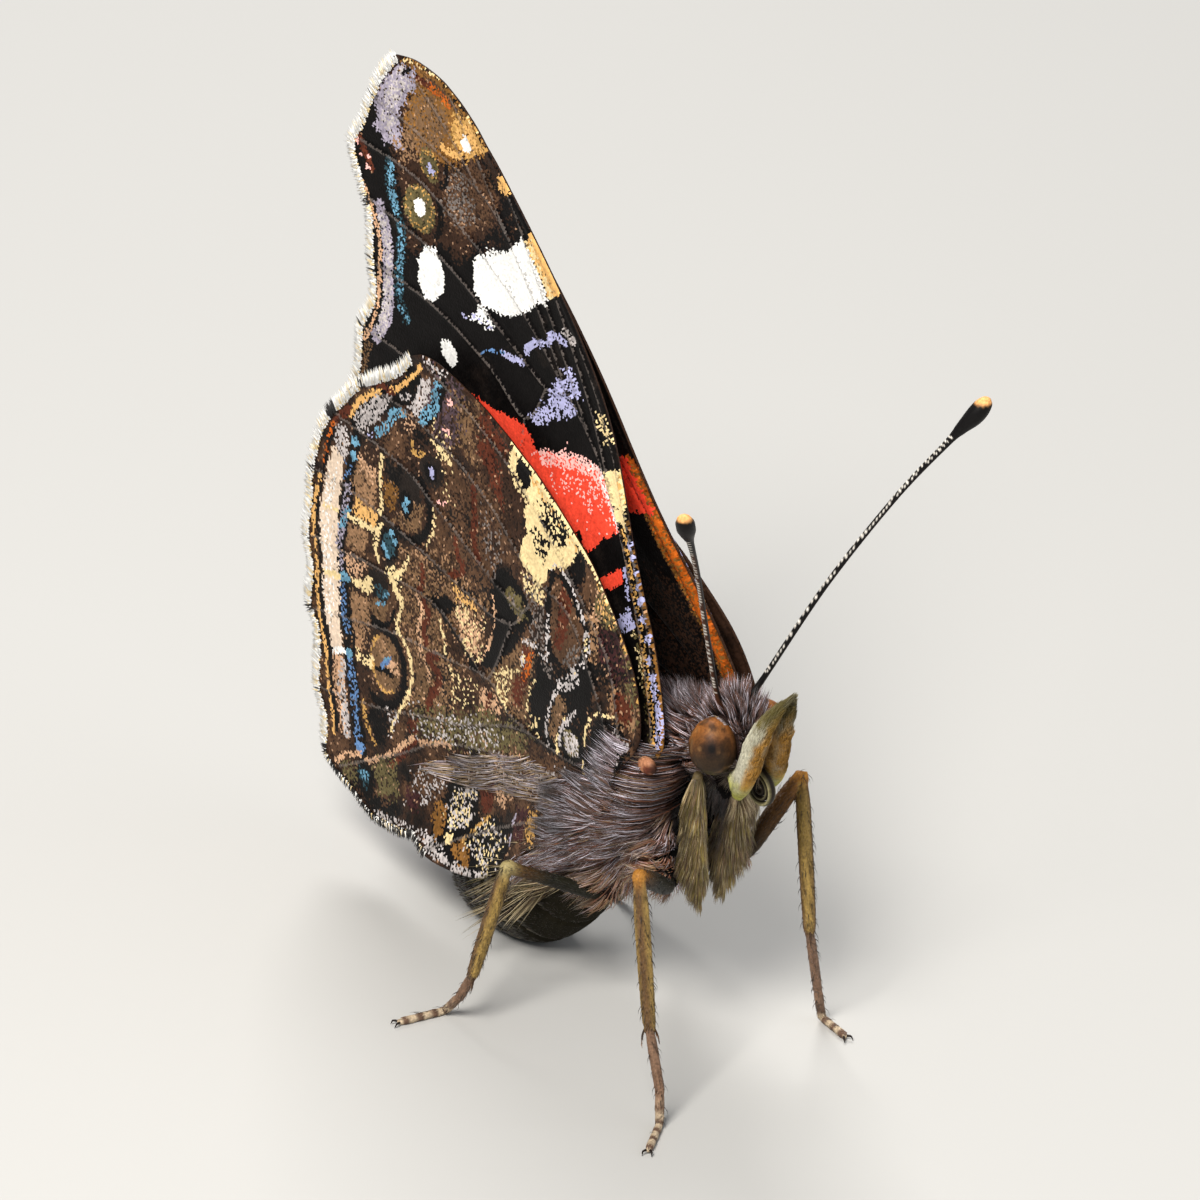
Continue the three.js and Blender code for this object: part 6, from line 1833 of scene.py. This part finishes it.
KNOB_PLACE = (2.85, 1.95, 13.2)
KNOB_SIZE = (0.26, 0.5, 0.36)
HINDWING_HAIR = (
    # region, direction along the sheet, length, count, pull of the locks, brightness, tones
    ("3.4,1.8 6,1.8 10,3.6 13.6,5.4 11,5.4 6,3.8 3.4,3",
     (1.0, 0.36), 1.1, 620, 0.2, 1.2, ("grey", "lilac", "tan")),
    ("-1.5,-1.8 -.4,-1.9 .6,-.6 .6,1.2 -.7,1",
     (0.97, -0.1), 1.2, 420, 0.3, 1.5, ("grey", "lilac", "dark")),
    ("-2.2,-1 -.6,-.6 1,.6 3.2,1.4 4.4,3.2 3.6,4 -1.6,2.4",
     (1.0, 0.12), 1.7, 1900, 0.5, 1.25, ("brown", "lilac", "dark")),
    ("-1,1.8 1,2.4 3.8,3.4 4.4,5 3.4,5.4 1,4.6",
     (0.98, 0.3), 1.7, 1500, 0.5, 1.2, ("brown", "lilac", "dark")),
)


def shoulder_fur(body, count):
    """Long hair from the thorax that reaches back over the base of each hindwing and hides its edge."""
    def keep(points):
        u, v = points[:, 1] - HINDWING_ROOT[0], HINDWING_ROOT[1] - points[:, 2]
        gap, _ = line_distance(u, v, np.vstack([HINDWING.hem, HINDWING.costa[:12]]))
        outside = ~inside(u, v, HINDWING.outline)
        return outside & (gap < 1.5) & (v > -1.6) & (v < 6.4) & (np.abs(points[:, 0]) > 0.9)

    roots = Roots(body, count, keep)
    u, v = roots.points[:, 1] - HINDWING_ROOT[0], HINDWING_ROOT[1] - roots.points[:, 2]
    side = np.sign(roots.points[:, 0])
    reach = 0.9 + 1.3 * rng.random(count)
    down = 0.13 * np.clip(v, 0, 5) + 0.7 * wander(u, v, 1.0, 171) + 0.55 * wander(u, v, 0.38, 173)
    end = HINDWING.point(u + reach, v + down * reach, 1, 0.2 + 0.25 * rng.random(count))
    end[:, 0] *= side
    span = end - roots.points
    length = 1.12 * np.linalg.norm(span, axis=1)
    leave = roots.normals + np.outer(side, [0.5, 0, 0]) + unit(span) + 0.5 * clumped(roots.points, 0.5, 175)
    leave = unit(leave)
    settle_to = 2 * span / length[:, None] - leave
    drift, tone = locks(roots.points, 360, 0.5)
    tone = 1.25 * tone
    base = tints(count, brown=4, dark=6, rust=2) * tone * 0.7
    tip = tints(count, brown=4, lilac=3, grey=2, rust=2, dark=3, tan=1) * tone
    piece = strands("shoulder_fur", roots.points, roots.normals, leave, settle_to, length, HAIR_WIDTH,
                    base, tip, segments=4, drift=drift)
    settle(piece, fur_material(), "fur")


def wing_knob(side_name, side):
    """The small pale knob with a few scales that covers the root of the forewing."""
    centre = np.array(KNOB_PLACE) * [side, 1, 1]
    obj = ellipsoid(centre, KNOB_SIZE, segments=28, rings=18)
    obj.name = obj.data.name = f"wing_knob_{side_name}"
    points = working_points(obj)
    colours = layered(
        TONES["knob"],
        (TONES["knob patch"], smoothstep(cloudy(points, 0.3, 181), -0.2, 0.4)),
        (TONES["knob rim"], smoothstep(np.abs(points[:, 1] - centre[1]), 0.2, 0.5)),
    )
    paint_points(obj.data, "Tint", colours)
    smooth_faces(obj)
    settle(obj, limb_material(), "fur")


def wing_hair(side_name, side):
    spans = []
    for region, direction, reach, count, pull, brightness, tones in HINDWING_HAIR:
        outline = np.array(places(region))
        low, high = outline.min(axis=0), outline.max(axis=0)
        spots = low + (high - low) * rng.random((count * 4, 2))
        spots = spots[inside(spots[:, 0], spots[:, 1], outline)][:count]
        spots = spots[inside(spots[:, 0], spots[:, 1], HINDWING.outline)]
        size = len(spots)
        waver = np.stack([wander(*spots.T, 0.8, 151), wander(*spots.T, 0.8, 153)], axis=1)
        way = unit(np.array(direction) + 0.3 * waver)
        length = reach * (0.6 + 0.6 * rng.random(size))
        last = spots + way * length[:, None]
        start = HINDWING.point(*spots.T, side, 0.04)
        end = HINDWING.point(*last.T, side, 0.07 + 0.12 * rng.random(size))
        drift, tone = locks(start, max(size // 40, 1), pull)
        tone = brightness * tone
        base = tints(size, **{tones[0]: 1, tones[2]: 1.4}) * tone
        tip = tints(size, **dict(zip(tones, (1.2, 1, 1.2)))) * tone
        spans.append((start, end + drift, base, tip))
    start, end, base, tip = (np.vstack(parts) for parts in zip(*spans))
    normals = np.tile([side, 0, 0], (len(start), 1)).astype(float)
    leave = unit(end - start) + 0.18 * normals
    piece = strands(f"hindwing_{side_name}_hair", start, normals, leave, end - start,
                    np.linalg.norm(end - start, axis=1), WING_HAIR_WIDTH, base, tip, sink=0.03)
    settle(piece, fur_material(), "hindwing")


# Finishes

def fill_sockets(node, *values):
    for socket, value in values:
        node.inputs[socket].default_value = value


def painted_material(name, attribute, roughness, speck_size, speck_share, bump_size=0.0, bump_height=0.0,
                     cells=False, specular=0.4, sheen=0.0, coat=0.0):
    """A surface whose colour is painted on the mesh, with fine specks and bumps in object space."""
    found = bpy.data.materials.get(name)
    if found:
        return found
    material = bpy.data.materials.new(name)
    material.use_nodes = True
    nodes, links = material.node_tree.nodes, material.node_tree.links
    shader = nodes["Principled BSDF"]
    fill_sockets(shader, ("Roughness", roughness), ("Specular IOR Level", specular), ("Sheen Weight", sheen),
                 ("Sheen Roughness", 0.35), ("Coat Weight", coat), ("Coat Roughness", 0.25))
    colour = nodes.new("ShaderNodeAttribute")
    colour.attribute_name = attribute
    place = nodes.new("ShaderNodeTexCoord")
    speck = nodes.new("ShaderNodeTexNoise")
    fill_sockets(speck, ("Scale", 1000 / speck_size), ("Detail", 2))
    links.new(place.outputs["Object"], speck.inputs["Vector"])
    level = nodes.new("ShaderNodeMapRange")
    fill_sockets(level, ("From Min", 0.3), ("From Max", 0.7), ("To Min", 1 - speck_share),
                 ("To Max", 1 + speck_share))
    links.new(speck.outputs["Fac"], level.inputs["Value"])
    scaled = nodes.new("ShaderNodeVectorMath")
    scaled.operation = "SCALE"
    links.new(colour.outputs["Color"], scaled.inputs[0])
    links.new(level.outputs["Result"], scaled.inputs["Scale"])
    links.new(scaled.outputs["Vector"], shader.inputs["Base Color"])
    if bump_size:
        grain = nodes.new("ShaderNodeTexVoronoi" if cells else "ShaderNodeTexNoise")
        fill_sockets(grain, ("Scale", 1000 / bump_size))
        links.new(place.outputs["Object"], grain.inputs["Vector"])
        bump = nodes.new("ShaderNodeBump")
        fill_sockets(bump, ("Strength", 0.5), ("Distance", bump_height / 1000))
        links.new(grain.outputs["Distance" if cells else "Fac"], bump.inputs["Height"])
        links.new(bump.outputs["Normal"], shader.inputs["Normal"])
    return material


def fur_material():
    return painted_material("Fur", "Coat", 0.48, 0.3, 0.12, specular=0.4, sheen=0.05)


def skin_material():
    return painted_material("Skin", "Coat", 0.8, 0.2, 0.25, bump_size=0.12, bump_height=0.03, specular=0.05)


def scale_material():
    return painted_material("Wing scales", "Scales", 0.45, 0.16, 0.16, bump_size=0.09, bump_height=0.02,
                            cells=True, specular=0.06)


def limb_material():
    return painted_material("Limb", "Tint", 0.5, 0.1, 0.3, bump_size=0.07, bump_height=0.015, specular=0.15)


def eye_material():
    return painted_material("Eye", "Tint", 0.55, 0.1, 0.25, bump_size=0.035, bump_height=0.006,
                            cells=True, specular=0.2, coat=0.03)


def floor_material(colour):
    material = bpy.data.materials.new("Floor")
    material.use_nodes = True
    shader = material.node_tree.nodes["Principled BSDF"]
    fill_sockets(shader, ("Base Color", (*colour, 1)), ("Roughness", 0.8))
    return material


# Stage: a plain floor, soft lights and the camera

LIGHT_TARGET = (0, 0, 0.015)
LIGHTS = (
    # name, turn and rise in degrees, distance and size in metres, colour
    ("key_light", -62, 52, 0.3, 0.12, (1, 0.965, 0.91)),
    ("fill_light", 30, 25, 0.35, 0.3, (0.93, 0.96, 1)),
    ("back_light", 150, 48, 0.32, 0.12, (1, 0.98, 0.95)),
)
SKY_TONE = (0.92, 0.95, 1, 1)
CAMERA_SENSOR = 36
CAMERA_NEAR = 0.01


def turned_to(place, target):
    return (Vector(target) - Vector(place)).to_track_quat("-Z", "Y").to_euler()


def light(name, turn, rise, distance, size, tone, power):
    """A soft square light at a turn and height round the butterfly."""
    a, b = math.radians(turn), math.radians(rise)
    way = np.array([math.sin(a) * math.cos(b), -math.cos(a) * math.cos(b), math.sin(b)])
    place = np.array(LIGHT_TARGET) + distance * way
    bpy.ops.object.light_add(type="AREA", location=place, rotation=turned_to(place, LIGHT_TARGET))
    lamp = bpy.context.object
    lamp.name = name
    lamp.data.energy = power
    lamp.data.size = size
    lamp.data.color = tone


def build_stage(settings):
    deselect()
    bpy.ops.mesh.primitive_plane_add(size=settings.floor_size, location=(0, 0, 0))
    floor = bpy.context.object
    floor.name = floor.data.name = "floor"
    floor.data.materials.append(floor_material(settings.floor_colour))
    for lamp, power in zip(LIGHTS, (settings.key_power, settings.fill_power, settings.back_power)):
        light(*lamp, power)
    scene = bpy.context.scene
    world = bpy.data.worlds.new("Studio")
    world.use_nodes = True
    sky = world.node_tree.nodes["Background"]
    fill_sockets(sky, ("Color", SKY_TONE), ("Strength", settings.room_light))
    scene.world = world
    scene.view_settings.view_transform = "Standard"
    turn = Euler((math.radians(90 - CAMERA_RISE), 0, -math.radians(CAMERA_TURN)))
    bpy.ops.object.camera_add(location=to_frame(CAMERA_PLACE), rotation=turn)
    camera = bpy.context.object
    camera.name = "camera"
    camera.data.lens = CAMERA_LENS
    camera.data.sensor_width = CAMERA_SENSOR
    camera.data.clip_start = CAMERA_NEAR
    scene.camera = camera


# Add-on: settings, one operator for each group of pieces, and a panel

class ButterflyWings(bpy.types.PropertyGroup):
    forewing_scale: bpy.props.FloatProperty(
        name="Forewing scale", description="Width of the face that stands for one scale of the forewing",
        default=0.000081, min=0.00005, unit="LENGTH", precision=6)
    hindwing_scale: bpy.props.FloatProperty(
        name="Hindwing scale", description="Width of the face that stands for one scale of the hindwing",
        default=0.000092, min=0.00005, unit="LENGTH", precision=6)
    thickness: bpy.props.FloatProperty(
        name="Sheet thickness", description="Thickness of a wing's sheet",
        default=0.0001, unit="LENGTH", precision=6)
    vein_lift: bpy.props.FloatProperty(
        name="Vein lift", description="How far the veins stand up",
        default=0.00009, unit="LENGTH", precision=6)


class ButterflyCoat(bpy.types.PropertyGroup):
    thorax_hairs: bpy.props.IntProperty(
        name="Thorax hairs", description="Hairs on the thorax", default=21000)
    shoulder_hairs: bpy.props.IntProperty(
        name="Shoulder hairs", description="Hairs over the wing bases", default=5000)
    head_hairs: bpy.props.IntProperty(
        name="Head hairs", description="Hairs on the head", default=10000)
    rim_scales: bpy.props.IntProperty(
        name="Eye rims", description="Scales round both eyes", default=1600)
    abdomen_scales: bpy.props.IntProperty(
        name="Abdomen scales", description="Scales on the abdomen", default=10000)
    palp_scales: bpy.props.IntProperty(
        name="Palp scales", description="Scales on each palp", default=5000)
    brush_hairs: bpy.props.IntProperty(
        name="Brush hairs", description="Hairs on each brush foot", default=5200)
    leg_bristles: bpy.props.IntProperty(
        name="Leg bristles", description="Bristles on each leg", default=2600)


class ButterflyStage(bpy.types.PropertyGroup):
    floor_size: bpy.props.FloatProperty(
        name="Floor size", description="Width of the floor", default=3.0, unit="LENGTH")
    floor_colour: bpy.props.FloatVectorProperty(
        name="Floor colour", description="Colour of the plain floor", subtype="COLOR",
        default=(0.46, 0.455, 0.44))
    key_power: bpy.props.FloatProperty(
        name="Key light", description="Power of the main light", default=1.3, unit="POWER")
    fill_power: bpy.props.FloatProperty(
        name="Fill light", description="Power of the fill light", default=0.3, unit="POWER")
    back_power: bpy.props.FloatProperty(
        name="Back light", description="Power of the back light", default=0.7, unit="POWER")
    room_light: bpy.props.FloatProperty(
        name="Room light", description="Strength of the light all round", default=0.3)


def restart_random(number):
    global rng
    rng = np.random.default_rng(number)


def build_wings(sheet, scale_size, settings):
    for side_name, side in SIDES:
        obj = wing_sheet(sheet, side_name, side, scale_size * 1000, settings.thickness * 1000,
                         settings.vein_lift * 1000)
        settle(obj, scale_material(), sheet.kind, f"{sheet.kind}_{side_name}")
        fringe(sheet, side_name, side)


class BUTTERFLY_OT_forewings(bpy.types.Operator):
    """Adds the two forewings with their scales, veins and fringes"""
    bl_idname = "butterfly.forewings"
    bl_label = "Forewings"

    def execute(self, context):
        restart_random(1)
        settings = context.scene.butterfly_wings
        build_wings(FOREWING, settings.forewing_scale, settings)
        return {"FINISHED"}


class BUTTERFLY_OT_hindwings(bpy.types.Operator):
    """Adds the two hindwings with their scales, veins, fringes and hair"""
    bl_idname = "butterfly.hindwings"
    bl_label = "Hindwings"

    def execute(self, context):
        restart_random(2)
        settings = context.scene.butterfly_wings
        build_wings(HINDWING, settings.hindwing_scale, settings)
        for side_name, side in SIDES:
            wing_hair(side_name, side)
            wing_knob(side_name, side)
        return {"FINISHED"}


class BUTTERFLY_OT_body(bpy.types.Operator):
    """Adds the body's skin and the coat on head, thorax and abdomen"""
    bl_idname = "butterfly.body"
    bl_label = "Body and coat"

    def execute(self, context):
        restart_random(3)
        coat = context.scene.butterfly_coat
        body = skin()
        settle(body, skin_material(), "fur", "head", "thorax", "abdomen")
        thorax_fur(body, coat.thorax_hairs)
        shoulder_fur(body, coat.shoulder_hairs)
        head_fur(body, coat.head_hairs)
        eye_lashes(coat.rim_scales)
        abdomen_scales(body, coat.abdomen_scales)
        return {"FINISHED"}


class BUTTERFLY_OT_eyes(bpy.types.Operator):
    """Adds the two eyes"""
    bl_idname = "butterfly.eyes"
    bl_label = "Eyes"

    def execute(self, context):
        restart_random(4)
        for side_name, side in SIDES:
            eye(side_name, side)
        return {"FINISHED"}


class BUTTERFLY_OT_feelers(bpy.types.Operator):
    """Adds the two clubbed feelers"""
    bl_idname = "butterfly.feelers"
    bl_label = "Feelers"

    def execute(self, context):
        restart_random(5)
        for side_name, side in SIDES:
            antenna(side_name, side)
        return {"FINISHED"}


class BUTTERFLY_OT_mouth(bpy.types.Operator):
    """Adds the palps and the coiled tongue"""
    bl_idname = "butterfly.mouth"
    bl_label = "Palps and tongue"

    def execute(self, context):
        restart_random(6)
        for side_name, side in SIDES:
            palp(side_name, side, context.scene.butterfly_coat.palp_scales)
        tongue()
        return {"FINISHED"}


class BUTTERFLY_OT_brush_feet(bpy.types.Operator):
    """Adds the two hairy brush feet"""
    bl_idname = "butterfly.brush_feet"
    bl_label = "Brush feet"

    def execute(self, context):
        restart_random(7)
        for side_name, side in SIDES:
            brush_foot(side_name, side, context.scene.butterfly_coat.brush_hairs)
        return {"FINISHED"}


class BUTTERFLY_OT_legs(bpy.types.Operator):
    """Adds the four walking legs with their bristles, spurs and claws"""
    bl_idname = "butterfly.legs"
    bl_label = "Legs"

    def execute(self, context):
        restart_random(8)
        for name in LEGS:
            leg(name, context.scene.butterfly_coat.leg_bristles)
        return {"FINISHED"}


class BUTTERFLY_OT_stage(bpy.types.Operator):
    """Adds the floor, the lights and the camera"""
    bl_idname = "butterfly.stage"
    bl_label = "Stage"

    def execute(self, context):
        build_stage(context.scene.butterfly_stage)
        return {"FINISHED"}


OPERATORS = (
    BUTTERFLY_OT_forewings, BUTTERFLY_OT_hindwings, BUTTERFLY_OT_body, BUTTERFLY_OT_eyes,
    BUTTERFLY_OT_feelers, BUTTERFLY_OT_mouth, BUTTERFLY_OT_brush_feet, BUTTERFLY_OT_legs,
    BUTTERFLY_OT_stage,
)
SETTINGS = (ButterflyWings, ButterflyCoat, ButterflyStage)


class BUTTERFLY_PT_panel(bpy.types.Panel):
    """Lists the butterfly's settings and pieces"""
    bl_idname = "BUTTERFLY_PT_panel"
    bl_label = "Butterfly"
    bl_space_type = "VIEW_3D"
    bl_region_type = "UI"
    bl_category = "Butterfly"

    def draw(self, context):
        scene = context.scene
        for settings in (scene.butterfly_wings, scene.butterfly_coat, scene.butterfly_stage):
            for name in settings.__annotations__:
                self.layout.prop(settings, name)
        for operator in OPERATORS:
            self.layout.operator(operator.bl_idname)


CLASSES = (*SETTINGS, *OPERATORS, BUTTERFLY_PT_panel)


def register():
    for item in CLASSES:
        bpy.utils.register_class(item)
    bpy.types.Scene.butterfly_wings = bpy.props.PointerProperty(type=ButterflyWings)
    bpy.types.Scene.butterfly_coat = bpy.props.PointerProperty(type=ButterflyCoat)
    bpy.types.Scene.butterfly_stage = bpy.props.PointerProperty(type=ButterflyStage)


def unregister():
    del bpy.types.Scene.butterfly_wings
    del bpy.types.Scene.butterfly_coat
    del bpy.types.Scene.butterfly_stage
    for item in reversed(CLASSES):
        bpy.utils.unregister_class(item)


def main():
    register()
    bpy.ops.butterfly.forewings()
    bpy.ops.butterfly.hindwings()
    bpy.ops.butterfly.body()
    bpy.ops.butterfly.eyes()
    bpy.ops.butterfly.feelers()
    bpy.ops.butterfly.mouth()
    bpy.ops.butterfly.brush_feet()
    bpy.ops.butterfly.legs()
    bpy.ops.butterfly.stage()
    deselect()


if __name__ == "__main__":
    main()
